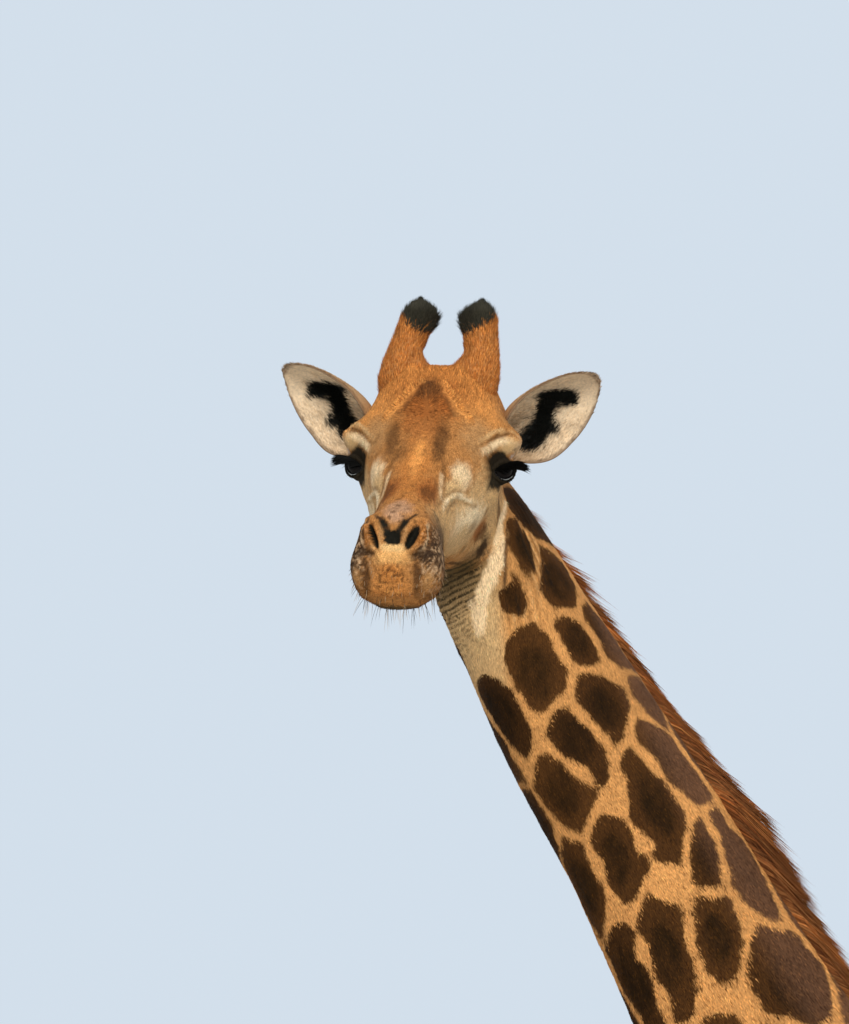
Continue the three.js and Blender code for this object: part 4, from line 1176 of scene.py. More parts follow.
class Hair:
    """Collects many small closed hairs and makes one mesh of them."""

    def __init__(self, name):
        self.name = name
        self.corners, self.faces, self.colours, self.map = [], [], [], []
        self.count = 0

    def _take(self, rings, faces, colours, places):
        amount, each = rings.shape[:2]
        starts = self.count + np.arange(amount)[:, None, None] * each
        self.corners.append(rings.reshape(-1, 3))
        self.faces.append((starts + faces[None]).reshape(-1, 3))
        self.colours.append(colours.reshape(-1, 3))
        spot = 0.0015 * np.stack([np.cos(np.arange(each) * 2.4), np.sin(np.arange(each) * 2.4)], 1)
        self.map.append((places[:, None] + spot[None]).reshape(-1, 2))
        self.count += amount * each

    def tufts(self, roots, outward, ways, length, width, colours, places, sunk=0.0009, deep=0.35):
        """Flat four-sided tufts that lie along `ways`, each with its root in the skin."""
        side = unit(np.cross(ways, outward)) * (width / 2)[:, None]
        root = roots - outward * sunk
        ridge = root + ways * (length * 0.38)[:, None] + outward * (width * deep)[:, None]
        rings = np.stack([root - side, root + side, roots + ways * length[:, None], ridge], 1)
        faces = np.array([[0, 1, 2], [1, 0, 3], [2, 1, 3], [0, 2, 3]])
        shade = np.array([0.86, 0.86, 1.08, 1.0])[None, :, None]
        self._take(rings, faces, colours[:, None] * shade, places)

    def strands(self, roots, ways, length, width, bend, colours, places, steps=2, tips=1.1):
        """Longer three-sided hairs that bend on their way and taper to a point."""
        across = unit(np.cross(ways, np.array([0.31, 0.52, 0.79])))
        over = np.cross(ways, across)
        parts, shades = [], []
        for step in range(steps):
            t = step / steps
            middle = roots + ways * (length * t)[:, None] + bend * (length * t * t)[:, None]
            half = (width / 2 * (1 - 0.35 * t))[:, None]
            for turn in range(3):
                angle = turn * 2 * math.pi / 3
                parts.append(middle + (across * math.cos(angle) + over * math.sin(angle)) * half)
                shades.append(0.75 + 0.25 * t)
        parts.append(roots + ways * length[:, None] + bend * length[:, None])
        shades.append(tips)
        faces = [[0, 2, 1]]
        for step in range(steps - 1):
            for turn in range(3):
                a, b = 3 * step + turn, 3 * step + (turn + 1) % 3
                faces += [[a, b, b + 3], [a, b + 3, a + 3]]
        last = 3 * (steps - 1)
        faces += [[last + turn, last + (turn + 1) % 3, 3 * steps] for turn in range(3)]
        rings = np.stack(parts, 1)
        self._take(rings, np.array(faces), colours[:, None] * np.array(shades)[None, :, None], places)

    def finish(self, material, slot, *replaced):
        points, faces = np.concatenate(self.corners), np.concatenate(self.faces)
        mesh = bpy.data.meshes.new(self.name)
        mesh.vertices.add(len(points))
        mesh.vertices.foreach_set("co", points.astype(np.float32).ravel())
        mesh.loops.add(faces.size)
        mesh.loops.foreach_set("vertex_index", faces.astype(np.int32).ravel())
        mesh.polygons.add(len(faces))
        mesh.polygons.foreach_set("loop_start", np.arange(0, faces.size, 3, dtype=np.int32))
        mesh.update(calc_edges=True)
        store(mesh, "hair", np.clip(np.concatenate(self.colours), 0, 1))
        layer = mesh.uv_layers.new(name="OFBake")
        places = np.clip(np.concatenate(self.map), 0.001, 0.999)[faces.ravel()]
        layer.data.foreach_set("uv", places.astype(np.float32).ravel())
        made = new_object(self.name, mesh, material, slot, *replaced)
        mesh.shade_flat()
        return made


# Roots spread evenly over some of a mesh's triangles, with the direction outward at each.
class Surface:
    def __init__(self, mesh):
        mesh.calc_loop_triangles()
        self.points = np.empty(len(mesh.vertices) * 3)
        mesh.vertices.foreach_get("co", self.points)
        self.points = self.points.reshape(-1, 3)
        self.normals = np.empty(len(mesh.vertices) * 3, np.float32)
        mesh.vertices.foreach_get("normal", self.normals)
        self.normals = self.normals.reshape(-1, 3).astype(float)
        triangles = np.empty(len(mesh.loop_triangles) * 3, np.int32)
        mesh.loop_triangles.foreach_get("vertices", triangles)
        self.triangles = triangles.reshape(-1, 3)
        a, b, c = (self.points[self.triangles[:, i]] for i in range(3))
        self.middle = (a + b + c) / 3
        self.area = np.linalg.norm(np.cross(b - a, c - a), axis=1) / 2

    def roots(self, amount, chosen, weight=None):
        share = self.area[chosen] * (1 if weight is None else weight[chosen])
        total = np.concatenate([[0], np.cumsum(share)])
        draws = (np.arange(amount) + random.uniform(0, 1, amount)) / amount * total[-1]
        picked = np.where(chosen)[0] if chosen.dtype == bool else chosen
        own = picked[np.clip(np.searchsorted(total, draws, side="right") - 1, 0, len(picked) - 1)]
        u, v = random.uniform(0, 1, (2, amount))
        flip = u + v > 1
        u, v = np.where(flip, 1 - u, u), np.where(flip, 1 - v, v)
        weights = np.stack([1 - u - v, u, v], 1)[..., None]
        corner = self.triangles[own]
        points = (self.points[corner] * weights).sum(1)
        return points, unit((self.normals[corner] * weights).sum(1)), own


def laid(ways, outward, rise, turn=0.16):
    """Directions laid along the skin, turned a little at random, with their tips raised by `rise` radians."""
    flat = unit(ways - outward * (ways * outward).sum(1, keepdims=True))
    side = np.cross(outward, flat)
    angle = random.normal(size=len(ways)) * turn
    flat = flat * np.cos(angle)[:, None] + side * np.sin(angle)[:, None]
    return flat * np.cos(rise)[:, None] + outward * np.sin(rise)[:, None]


# ---------------------------------------------------------------- the lie of the coat


def nap_places(points, outward_part):
    """Places squeezed along the hair's own lie, so that a pattern read there runs in streaks along it."""
    down = SPINE.locate(points)[0]
    centre, _, _, crest, side = SPINE.at(down)
    offset = points - centre
    on_neck = np.stack([down * 0.2, (offset * crest).sum(1), (offset * side).sum(1)], 1)
    squeezed = []
    for lie in (lie_on_head, lie_on_trunk, lie_on_leg):
        way = lie(points)
        local = points - EYE_MIDDLE if lie is lie_on_head else points
        squeezed.append(local - way * (0.8 * (local * way).sum(1))[:, None])
    return np.choose(outward_part[:, None], [squeezed[0], on_neck, squeezed[1], squeezed[2]])


def lie_on_head(points):
    q, side = on_both_sides(in_head(points))
    to_nose = smoothstep(-25, 95, q[:, 0])
    parted = to_nose * (1 - to_nose) * smoothstep(20, 70, q[:, 2])
    to_horns = (1 - to_nose) * smoothstep(15, 60, q[:, 2])
    to_neck = (1 - to_nose) * (1 - smoothstep(15, 60, q[:, 2]))
    ways = to_nose[:, None] * (1, 0.1, -0.25) + to_horns[:, None] * (-0.7, 0.1, 0.7)
    ways += to_neck[:, None] * (-0.6, 0, -0.8)
    ways += (parted * smoothstep(0, 16, q[:, 1]))[:, None] * (0, 3.0, 0)
    ways[:, 1] *= side
    down = SPINE.locate(points)[0]
    on_neck = (smoothstep(0.03, 0.22, down) * smoothstep(30, -30, q[:, 0]))[:, None]
    return unit(unit(ways) @ HEAD * (1 - on_neck) + SPINE.at(down)[2] * on_neck)


def lie_on_neck(points):
    down = SPINE.locate(points)[0]
    ways = SPINE.at(down)[2]
    near = down < 0.3
    ways[near] = lie_on_head(points[near])
    return ways


def lie_on_trunk(points):
    ways = np.tile(np.array([1.0, 0, -0.35]), (len(points), 1))
    return unit(ways + np.array([-0.6, 0, -1.4]) * smoothstep(-0.05, -0.30, points[:, 0])[:, None])


def lie_on_leg(points):
    return np.tile(unit(np.array([0.12, 0, -1.0])), (len(points), 1))


# Where each root lies on an unwrap of its own part: across and along, 0 to 1.
def unwrap_head(points):
    q = in_head(points)
    return np.stack([np.arctan2(q[:, 1], q[:, 2]) / (2 * math.pi) + 0.5, (q[:, 0] + 260) / 680], 1)


def unwrap_neck(points):
    down, around = SPINE.locate(points)
    return np.stack([around / (2 * math.pi) + 0.5, down / 2.45], 1)


def unwrap_trunk(points):
    turn = np.arctan2(points[:, 1] - EYE_MIDDLE[1] - HEAD_ASIDE, points[:, 2] - 2.05)
    return np.stack([turn / (2 * math.pi) + 0.5, (points[:, 0] + 0.6) / 2.1], 1)


def unwrap_leg(points, middle, strip, strips):
    turn = np.arctan2(points[:, 1] - middle[1], points[:, 0] - middle[0]) / (2 * math.pi) + 0.5
    return np.stack([(strip + 0.02 + 0.96 * turn) / strips, points[:, 2] / 1.75], 1)


def into_map(places):
    return 0.004 + 0.992 * np.clip(places, 0, 1)


# ---------------------------------------------------------------- the model: skin

skin_shape = build_skin()
skin_mesh = bpy.data.meshes.new("skin")
skin_shape.to_mesh(skin_mesh)
skin_shape.free()
surface = Surface(skin_mesh)
skin_tree = BVHTree.FromPolygons(surface.points.tolist(), surface.triangles.tolist())
owner = nearest_flesh(surface.middle)


def part_of_skin(*words):
    """The skin's triangles over the CAD nodes whose names begin with one of the words."""
    wanted = [index for index, name in enumerate(FLESH) if name.startswith(words)]
    return np.isin(owner, wanted)


def leg_middle(leg, height):
    near = part_of_skin(leg) & (abs(surface.middle[:, 2] - height) < 0.04)
    ring = surface.middle[near]
    centre = (ring.min(0) + ring.max(0)) / 2
    centre[2] = height
    return centre, np.linalg.norm((ring - centre)[:, :2], axis=1).mean()


coat = Coat(skin_tree, leg_middle)
ground, patch, edge = coat.read(surface.points, surface.normals)
store(skin_mesh, "ground", ground)
store(skin_mesh, "patch", patch)
store(skin_mesh, "edge", edge)
which = [("head", "neck", "trunk", "leg", "tail").index(kind_of(name)) for name in FLESH]
which = np.minimum(np.array(which), 3)[nearest_flesh(surface.points)]
store(skin_mesh, "nap", nap_places(surface.points, which), "FLOAT_VECTOR")
new_object("skin", skin_mesh, skin_finish(), "body_coat", *FLESH)

# ---------------------------------------------------------------- horns, ears and eyes


def wrapped(rows, columns, place):
    """A closed tube: a grid rolled up by place(along, around), whose seam and ends are then joined."""
    bm = bmesh.new()
    bmesh.ops.create_grid(bm, x_segments=rows, y_segments=columns, size=1)
    flat = (corners(bm) + 1) / 2
    put_corners(bm, place(flat[:, 0], flat[:, 1] * 2 * math.pi))
    bmesh.ops.remove_doubles(bm, verts=bm.verts, dist=1e-6)
    return bm


def finished_mesh(bm, name):
    bmesh.ops.recalc_face_normals(bm, faces=bm.faces)
    mesh = bpy.data.meshes.new(name)
    bm.to_mesh(mesh)
    bm.free()
    return mesh


# The horn's height, then how far forward and aside its middle lies, and its roundness there.
HORN = np.array([
    (60, -60, 52, 22), (78, -71, 55, 31), (96, -83, 59, 37), (114, -93, 61, 37.5), (134, -103, 62, 34.5),
    (154, -115, 60, 31.5), (174, -127, 55, 31), (190, -136, 49, 33), (200, -141, 47, 33), (208, -145, 47, 28),
    (215, -149, 48, 19), (220, -152, 49, 8),
], float)
HORN_UP = unit(np.array([1, 0, 0.55]))
HORN_HAIR = 4.5  # how far the horn lies inside its hair
SADDLE = 20  # how far the horn's foot runs out towards the other horn
HORN_SKIN, HORN_TIP_SKIN = (0.42, 0.17, 0.045), (0.03, 0.028, 0.022)


def horn_place(along, around, side):
    run = along * (len(HORN) - 1)
    rows = np.arange(len(HORN))
    z, x, y, wide = (np.interp(run, rows, HORN[:, column]) for column in range(4))
    wide = np.maximum(wide - HORN_HAIR, 0) * (along > 0) * (along < 1)
    foot = SADDLE * smoothstep(154, 122, z) * np.clip(-np.cos(around) * side, 0, 1) ** 2 * (along > 0)
    middle = np.stack([x, y * side + 15 * np.clip((z - 110) / 120, 0, None), z], 1)
    ring = np.cos(around)[:, None] * (0, 1, 0) + np.sin(around)[:, None] * HORN_UP
    return middle + ring * (wide + foot)[:, None]


EAR = {"root": (-116, 88, 6), "tip": (-112, 244, 119), "width": 53, "droop": 0.2, "thick": 4.2}
LEAF_ALONG = [0, 0.12, 0.22, 0.32, 0.45, 0.65, 0.82, 0.94, 1]
LEAF_UPPER = np.polyfit(LEAF_ALONG, [0.38, 0.62, 0.92, 1.16, 1.24, 1.10, 0.80, 0.44, 0.16], 6)
LEAF_LOWER = np.polyfit(LEAF_ALONG, [0.42, 0.60, 0.78, 0.92, 1.00, 0.95, 0.71, 0.40, 0.16], 6)


def ear_frame():
    root, tip = np.array(EAR["root"], float), np.array(EAR["tip"], float)
    axis = tip - root
    along = unit(axis)
    forward = np.array([0.93, 0.3, -0.1])
    forward = unit(forward - along * (forward @ along))
    return root, axis, forward, np.cross(along, forward)


def ear_place(u, v, lift, side=1):
    """A place on the ear: u from root to tip, v from the upper edge (-1) to the lower (1), and millimetres
    behind the middle of its thickness."""
    root, axis, forward, across = ear_frame()
    inside = np.clip(u, 0, 1)
    upper, lower = (np.maximum(np.polyval(curve, inside), 0.1) for curve in (LEAF_UPPER, LEAF_LOWER))
    leaf = lower + (upper - lower) * smoothstep(0.1, -0.9, v)
    curl = np.radians(np.interp(u, [0, 0.2, 0.5, 1], [140, 112, 74, 38]))
    bend = EAR["width"] * leaf / np.sin(np.minimum(curl, math.pi / 2))
    turn = v * curl
    outward = across * np.sin(turn)[:, None] - forward * np.cos(turn)[:, None]
    middle = root + axis * u[:, None] + forward * (0.55 * bend)[:, None]
    place = middle + outward * (bend * (1 + EAR["droop"] * v) + lift)[:, None]
    place[:, 1] *= side
    return place


# The black inside the ear, partly black hair and partly painted deep shadow in the ear's hollow: lines of
# places from root to tip and across, and their half widths.
EAR_SHADOW_AND_BLACK_HAIR = [
    ([(34, 25), (54, 23), (74, 17), (92, 6), (108, -5)], 13.5),
    ([(108, -10), (118, -1), (136, 15)], 13.5),
    ([(76, 24), (86, 32)], 7),
]

EAR_BACK, EAR_INSIDE = (0.42, 0.27, 0.14), (0.80, 0.64, 0.44)
EAR_ROOT, EAR_RIM = (0.50, 0.33, 0.18), (0.17, 0.10, 0.055)


def ear_colour(u, v, inside):
    flat = np.stack([u * 200, v * 60, u * 0], 1)
    rough = wobble(flat, 26, 71) * 0.9 + wobble(flat, 9, 72) * 0.7
    back = mix(even_colour(EAR_BACK, len(u)), GOLD, smoothstep(0.5, 0.0, u))
    inner = mix(even_colour(EAR_INSIDE, len(u)), EAR_ROOT, smoothstep(0.4, 0.0, u) * 0.7)
    inner = inner * (1 + 0.10 * wobble(flat, 30, 73))[:, None]
    # painted deep shadow and black hair inside the ear
    for line, half in EAR_SHADOW_AND_BLACK_HAIR:
        far, _ = to_line(flat, [(*place, 0) for place in line])
        inner = mix(inner, BLACK, smoothstep(half + 3, half - 2, far + rough * 2.2))
    colour = np.where(inside[:, None], inner, back)
    rim = smoothstep(0.90, 0.98, np.abs(v) + rough * 0.02)
    rim = np.maximum(rim, smoothstep(0.95, 0.99, u + rough * 0.01))
    return mix(colour, EAR_RIM, rim * 0.8)


def ear_half_thickness(u, v):
    return EAR["thick"] / 2 * (1.15 - 0.55 * np.abs(v)) * (1.1 - 0.6 * u)


def build_ear(name, side):
    bm = bmesh.new()
    bmesh.ops.create_grid(bm, x_segments=52, y_segments=40, size=1)
    bmesh.ops.solidify(bm, geom=bm.faces[:], thickness=1.0)
    flat = corners(bm)
    u, v = (flat[:, 0] + 1) / 2, flat[:, 1]
    behind = flat[:, 2] > flat[:, 2].mean()
    half = ear_half_thickness(u, v)
    folds = 1.4 * np.sin((v + 0.25 * np.sin(u * 5)) * 9)
    folds = folds * smoothstep(1.0, 0.5, np.abs(v)) * smoothstep(0, 0.2, u) * (1 - u)
    places = ear_place(u * 1.02 - 0.02, v, np.where(behind, half, -half) + folds, side)
    put_corners(bm, from_head(places))
    mesh = finished_mesh(bm, name)
    store(mesh, "ground", ear_colour(u, v, ~behind))
    return new_object(f"{name}_shell", mesh, EAR_FINISH, "ear_skin", name)


def build_eye(name, side):
    bm = bmesh.new()
    bmesh.ops.create_uvsphere(bm, u_segments=64, v_segments=40, radius=1)
    ball = corners(bm)
    ways = ball[:, [0]] * EYE_FORE + ball[:, [1]] * EYE_UP + ball[:, [2]] * EYE_OUT
    off_pupil = np.sqrt((np.arctan2(ball[:, 0], ball[:, 2]) / 0.86) ** 2 + (ball[:, 1] / 0.62) ** 2)
    places = ways * EYE_RADIUS + EYE_CENTRE
    places[:, 1] *= side
    put_corners(bm, from_head(places))
    mesh = finished_mesh(bm, name)
    store(mesh, "iris", np.clip(off_pupil, 0, 1))
    return new_object(f"{name}_ball", mesh, EYE_FINISH, "eye", name)


def round_line(middle, way, around, size, side):
    """Places round a line that runs along the lids."""
    out = unit(middle - EYE_CENTRE)
    ring = middle + (out * np.cos(around)[:, None] + np.cross(way, out) * np.sin(around)[:, None]) * size
    ring[:, 1] *= side
    return from_head(ring)


def build_lid_rim(name, side):
    def place(along, around):
        turn = along * 2 * math.pi
        way = unit(lid_edge(turn + 0.02, 0.8) - lid_edge(turn - 0.02, 0.8))
        thick = np.where(np.sin(turn) > 0, 1.5, 1.1)[:, None]
        return round_line(lid_edge(turn, 0.8), way, around, thick, side)
    mesh = finished_mesh(wrapped(72, 10, place), name)
    return new_object(name, mesh, LID_FINISH, "eye")


def build_eye_highlights(name, side):
    """Painted highlights: thin pale lines along the lower lid's wet rim and under the upper lid."""
    whole = bmesh.new()
    for low, high, share, thick in ((-0.66, 0.50, -1.04, 0.95), (-0.62, 0.05, 0.62, 0.5)):
        def place(along, around):
            fore = low + (high - low) * along
            def line(fore):
                rise = lid_height(fore, share > 0) * share
                flat = EYE_OUT * np.cos(fore)[:, None] + EYE_FORE * np.sin(fore)[:, None]
                ways = flat * np.cos(rise)[:, None] + EYE_UP * np.sin(rise)[:, None]
                return EYE_CENTRE + ways * (EYE_RADIUS + (1.6 if share < 0 else 0.1))
            way = unit(line(fore + 0.02) - line(fore - 0.02))
            size = (thick * np.sqrt(np.clip(1 - (2 * along - 1) ** 2, 0, 1)))[:, None]
            return round_line(line(fore), way, around, size, side)
        part = finished_mesh(wrapped(24, 8, place), "line")
        whole.from_mesh(part)
        bpy.data.meshes.remove(part)
    return new_object(name, finished_mesh(whole, name), EYE_HIGHLIGHT_FINISH, "eye")


EYE_FINISH, LID_FINISH, EAR_FINISH = eye_finish(), lid_finish(), ear_finish()
EYE_HIGHLIGHT_FINISH = eye_highlight_finish()
HORN_FINISH = hair_finish("horn hide", 0.7)
for side, word in SIDES:
    build_eye(f"eye_{word}", side)
    build_lid_rim(f"lids_{word}", side)
    build_eye_highlights(f"eye_highlights_{word}", side)
    build_ear(f"ear_{word}", side)
    horn = wrapped(36, 40, lambda along, around: from_head(horn_place(along, around, side)))
    mesh = finished_mesh(horn, f"ossicone_{word}")
    spots = np.array([v.co[:] for v in mesh.vertices])
    height = in_head(spots)[:, 2]
    colour = mix(even_colour(HORN_SKIN, len(spots)), HORN_TIP_SKIN, smoothstep(196, 206, height))
    store(mesh, "hair", colour)
    new_object(f"horn_core_{word}", mesh, HORN_FINISH, "horn_coat", f"ossicone_{word}")

# ---------------------------------------------------------------- the coat over the skin


def region_coat(name, amount, chosen, lie, size, unwrap, slot, weight=None, rise=(3, 9)):
    """Tufts over some of the skin: their lie, their length and width in millimetres, and their unwrap."""
    points, outward, _ = surface.roots(amount, chosen, weight)
    bare = bare_places(points)
    points, outward = points[~bare], outward[~bare]
    length, width = size(points)
    vary = random.uniform(0.75, 1.25, len(points))
    raised = np.radians(random.uniform(rise[0], rise[1], len(points)))
    ways = laid(lie(points), outward, raised)
    colour = coat.colour(points, outward) * random.uniform(0.78, 1.24, len(points))[:, None]
    length, width = length * vary / 1000, width * vary / 1000
    hair = Hair(name)
    hair.tufts(points, outward, ways, length, width, colour, into_map(unwrap(points)))
    hair.finish(COAT_FINISH, slot)


def bare_places(points):
    """Where no coat grows: inside the lids and the nostrils, and under the ears and the horns."""
    q, side = on_both_sides(in_head(points))
    fore, rise, away, facing = eye_angles(q)
    edge = lid_edge_distance(fore, rise)
    bare = (edge < 0.10) & (away < 50) & (facing > 0)
    out = nostril_place(q)[2]
    return bare | (slit_distance(q, side) < 1.22) & (np.abs(out) < 26)


def head_size(points):
    q, _ = on_both_sides(in_head(points))
    muzzle = smoothstep(180, 330, q[:, 0])
    eye = smoothstep(60, 34, np.linalg.norm(q - EYE_CENTRE, axis=1))
    crown = smoothstep(70, 125, q[:, 2])
    lip = smoothstep(-40, -75, q[:, 2]) * muzzle
    length = 6.0 - 2.6 * muzzle + 3.5 * lip + 3.5 * crown - 2.5 * eye
    width = 1.35 - 0.45 * muzzle + 0.35 * crown - 0.4 * eye
    return length, width


def neck_size(points):
    down = SPINE.locate(points)[0]
    marks = [0.1, 0.6, 1.1, 2.0]
    return np.interp(down, marks, [6.5, 8, 11, 16]), np.interp(down, marks, [1.3, 1.7, 2.4, 3.4])


def even_size(length, width):
    return lambda points: (np.full(len(points), length), np.full(len(points), width))


COAT_FINISH = hair_finish("giraffe coat", 0.66, 0.06)
head_faces = part_of_skin("head")
face_density = 1 + 1.3 * smoothstep(100, 280, in_head(surface.middle)[:, 0])
face_density = face_density + 0.8 * smoothstep(40, 90, in_head(surface.middle)[:, 2])
for number in (1, 2, 3):
    region_coat(f"coat_head_{number}", 34000, head_faces, lie_on_head, head_size, unwrap_head,
                "face_coat", face_density)
for name, amount, parts in (
        ("coat_neck_1", 42000, ("neck_upper", "neck_middle")),
        ("coat_neck_2", 42000, ("neck_upper", "neck_middle")),
        ("coat_neck_lower", 22000, ("neck_lower",))):
    region_coat(name, amount, part_of_skin(*parts), lie_on_neck, neck_size, unwrap_neck, "body_coat")
for number in (1, 2):
    region_coat(f"coat_trunk_{number}", 20000, part_of_skin("trunk"), lie_on_trunk, even_size(24, 5.2),
                unwrap_trunk, "body_coat")
for index, leg in enumerate(LEGS):
    middle, _ = leg_middle(leg, 0.8)
    region_coat(f"coat_{leg}", 6500, part_of_skin(leg), lie_on_leg, even_size(15, 4.0),
                lambda points: unwrap_leg(points, middle, index, 4), "leg_coat")
region_coat("coat_tail", 2500, part_of_skin("tail"), lie_on_leg, even_size(14, 3.4),
            lambda points: unwrap_leg(points, middle_of("tail"), 0, 1), "body_coat")

# ---------------------------------------------------------------- hair of the horns and ears

BRIGHT_RUST, DEEP_RUST, HORN_TIP_BLACK = (0.66, 0.265, 0.058), (0.43, 0.14, 0.024), (0.036, 0.034, 0.022)
for side, word in SIDES:
    amount = 12000
    along, around = random.uniform(0.12, 0.99, amount), random.uniform(0, 2 * math.pi, amount)
    roots = horn_place(along, around, side)
    ahead = horn_place(np.minimum(along + 0.01, 0.999), around, side)
    onward = unit(ahead - horn_place(along - 0.01, around, side))
    outward = np.cos(around)[:, None] * (0, 1, 0) + np.sin(around)[:, None] * HORN_UP
    outward = unit(outward - onward * (outward * onward).sum(1, keepdims=True))
    height = roots[:, 2]
    skirt = height - 194 - 15 * np.cos(around) * side + random.normal(size=amount) * 3.5
    tip = skirt > 0
    bright = random.uniform(size=amount) < 0.35
    rust = np.where(bright[:, None], np.array(BRIGHT_RUST), np.array(DEEP_RUST))
    colour = np.where(tip[:, None], np.array(HORN_TIP_BLACK), rust)
    colour = colour * (1 + 0.16 * wobble(roots, 22, 81))[:, None] * random.uniform(0.6, 1.35, amount)[:, None]
    crown = smoothstep(194, 216, height)
    ways = laid(unit(onward + np.array([-0.2, 0, 1.0]) * (0.3 + 1.6 * crown)[:, None]), outward,
                np.radians(np.where(tip, 22, 14) + random.uniform(-7, 10, amount)), 0.16)
    length = np.where(tip, 14.0, 9.0) * random.uniform(0.7, 1.25, amount)
    width = np.where(tip, 0.0016, 0.0015)
    hair = Hair(f"coat_horn_{word}")
    places = into_map(np.stack([(around / (2 * math.pi) + (0 if side > 0 else 1)) / 2, along], 1))
    hair.tufts(from_head(roots), outward @ HEAD, ways @ HEAD, length / 1000, width, colour, places)
    hair.finish(HORN_FINISH, "horn_coat")

HAIR_FINISH = hair_finish("long hair", 0.6, 0.12)


def ear_hair(word, side):
    hair = Hair(f"coat_ear_{word}")
    amount = 9000
    u, v = random.uniform(0.0, 0.99, amount), random.uniform(-0.985, 0.985, amount)
    back = random.uniform(size=amount) < 0.5
    lift = np.where(back, 1.0, -1.0) * ear_half_thickness(u, v)
    roots = ear_place(u, v, lift, side)
    onward = ear_place(u + 0.01, v, lift, side) - roots
    outward = unit(ear_place(u, v, lift + 1, side) - roots) * np.where(back, 1.0, -1.0)[:, None]
    colour = ear_colour(u, v, ~back) * random.uniform(0.8, 1.2, amount)[:, None]
    ways = laid(onward, outward, np.radians(random.uniform(4, 14, amount)), 0.2)
    length = np.where(back, 7.0, 9.0) * random.uniform(0.7, 1.2, amount)
    places = into_map(np.stack([(v + 1) / 4 + 0.5 * back, u], 1))
    hair.tufts(from_head(roots), outward @ HEAD, ways @ HEAD, length / 1000,
               np.full(amount, 0.0019), colour, places, 0.0006)
    hair.finish(COAT_FINISH, "ear_skin")
    long = Hair(f"ear_down_{word}")
    amount = 900
    line = np.array(EAR_SHADOW_AND_BLACK_HAIR[0][0] + EAR_SHADOW_AND_BLACK_HAIR[1][0][1:]) / (200, 60)
    run = random.uniform(0, len(line) - 1, amount)
    u, v = (np.interp(run, np.arange(len(line)), column) for column in line.T)
    u, v = u + random.normal(size=amount) * 0.02, v + random.normal(size=amount) * 0.11
    roots = ear_place(u, v, np.full(amount, -1.0), side)
    onward = ear_place(u + 0.01, v, np.full(amount, -1.0), side) - roots
    outward = -unit(ear_place(u, v, np.full(amount, 0.0), side) - roots)
    ways = laid(onward, outward, np.radians(random.uniform(12, 26, amount)), 0.28)
    colour = np.tile(np.array(BLACK), (amount, 1)) * random.uniform(0.7, 1.8, amount)[:, None]
    places = into_map(np.stack([(v + 1) / 2, u], 1))
    long.strands(from_head(roots), ways @ HEAD, random.uniform(0.012, 0.022, amount), np.full(amount, 0.0009),
                 random.normal(size=(amount, 3)) * 0.15, colour, places)
    long.finish(HAIR_FINISH, "ear_skin")


for side, word in SIDES:
    ear_hair(word, side)

# ---------------------------------------------------------------- lashes and whiskers


def lashes(word, side):
    hair = Hair(f"lashes_{word}")
    for upper, amount, reach in ((True, 460, 30), (False, 24, 4)):
        fore = random.uniform(-0.84, 0.80, amount)
        roots = on_lid(fore, upper, random.uniform(1.0, 3.6, amount)[:, None])
        out = unit(roots - EYE_CENTRE)
        if upper:
            aim = out * 0.5 + np.array([-0.05, 1.0, 0.10]) + EYE_UP * random.uniform(-0.2, 0.35, (amount, 1))
        else:
            aim = out * 0.7 + np.array([0.10, 0.20, -1.0])
        ways = unit(aim + random.normal(size=(amount, 3)) * 0.09)
        droop = np.tile(EYE_UP * (-0.30 if upper else 0.0), (amount, 1))
        length = reach * (1 - 0.25 * np.abs(fore)) * random.uniform(0.7, 1.1, amount)
        for values in (roots, ways, droop):
            values[:, 1] *= side
        colour = np.tile(np.array(BLACK) * 0.3, (amount, 1))
        places = into_map(np.stack([fore / 2 + 0.5, np.full(amount, 0.75 if upper else 0.25)], 1))
        hair.strands(from_head(roots), ways @ HEAD, length / 1000, np.full(amount, 0.0013),
                     droop @ HEAD, colour, places, 4, 1)
    hair.finish(HAIR_FINISH, "eye")


for side, word in SIDES:
    lashes(word, side)


DARK_WHISKER, PALE_WHISKER = (0.03, 0.02, 0.014), (0.45, 0.33, 0.2)


def whiskers():
    hair = Hair("whiskers")
    shape = in_head(surface.middle)
    chin = head_faces & (shape[:, 0] > 300) & (shape[:, 2] < -40)
    points, outward, _ = surface.roots(170, chin)
    low = smoothstep(-70, -105, in_head(points)[:, 2])
    length = (0.009 + 0.018 * low) * random.uniform(0.5, 1.2, len(points))
    ways = unit(outward + np.array([0, -0.1, -0.9]) + random.normal(size=points.shape) * 0.25)
    dark = random.uniform(size=len(points)) < 0.5
    colour = np.where(dark[:, None], np.array(DARK_WHISKER), np.array(PALE_WHISKER))
    droop = np.tile(np.array([0, 0, -0.3]), (len(points), 1))
    hair.strands(points, ways, length, np.full(len(points), 0.0007), droop,
                 colour, into_map(unwrap_head(points)), 3, 1)
    hair.finish(HAIR_FINISH, "face_coat")


whiskers()

# ---------------------------------------------------------------- mane and tail

MANE_HIGH = {
    "down": [0, 40, 100, 180, 261, 330, 397, 474, 557, 603, 696, 798, 1300, 1680, 1830],
    "high": [56, 80, 100, 94, 64, 44, 36, 38, 42, 58, 56, 48, 48, 36, 10],
}
MANE_HALF = 0.0145


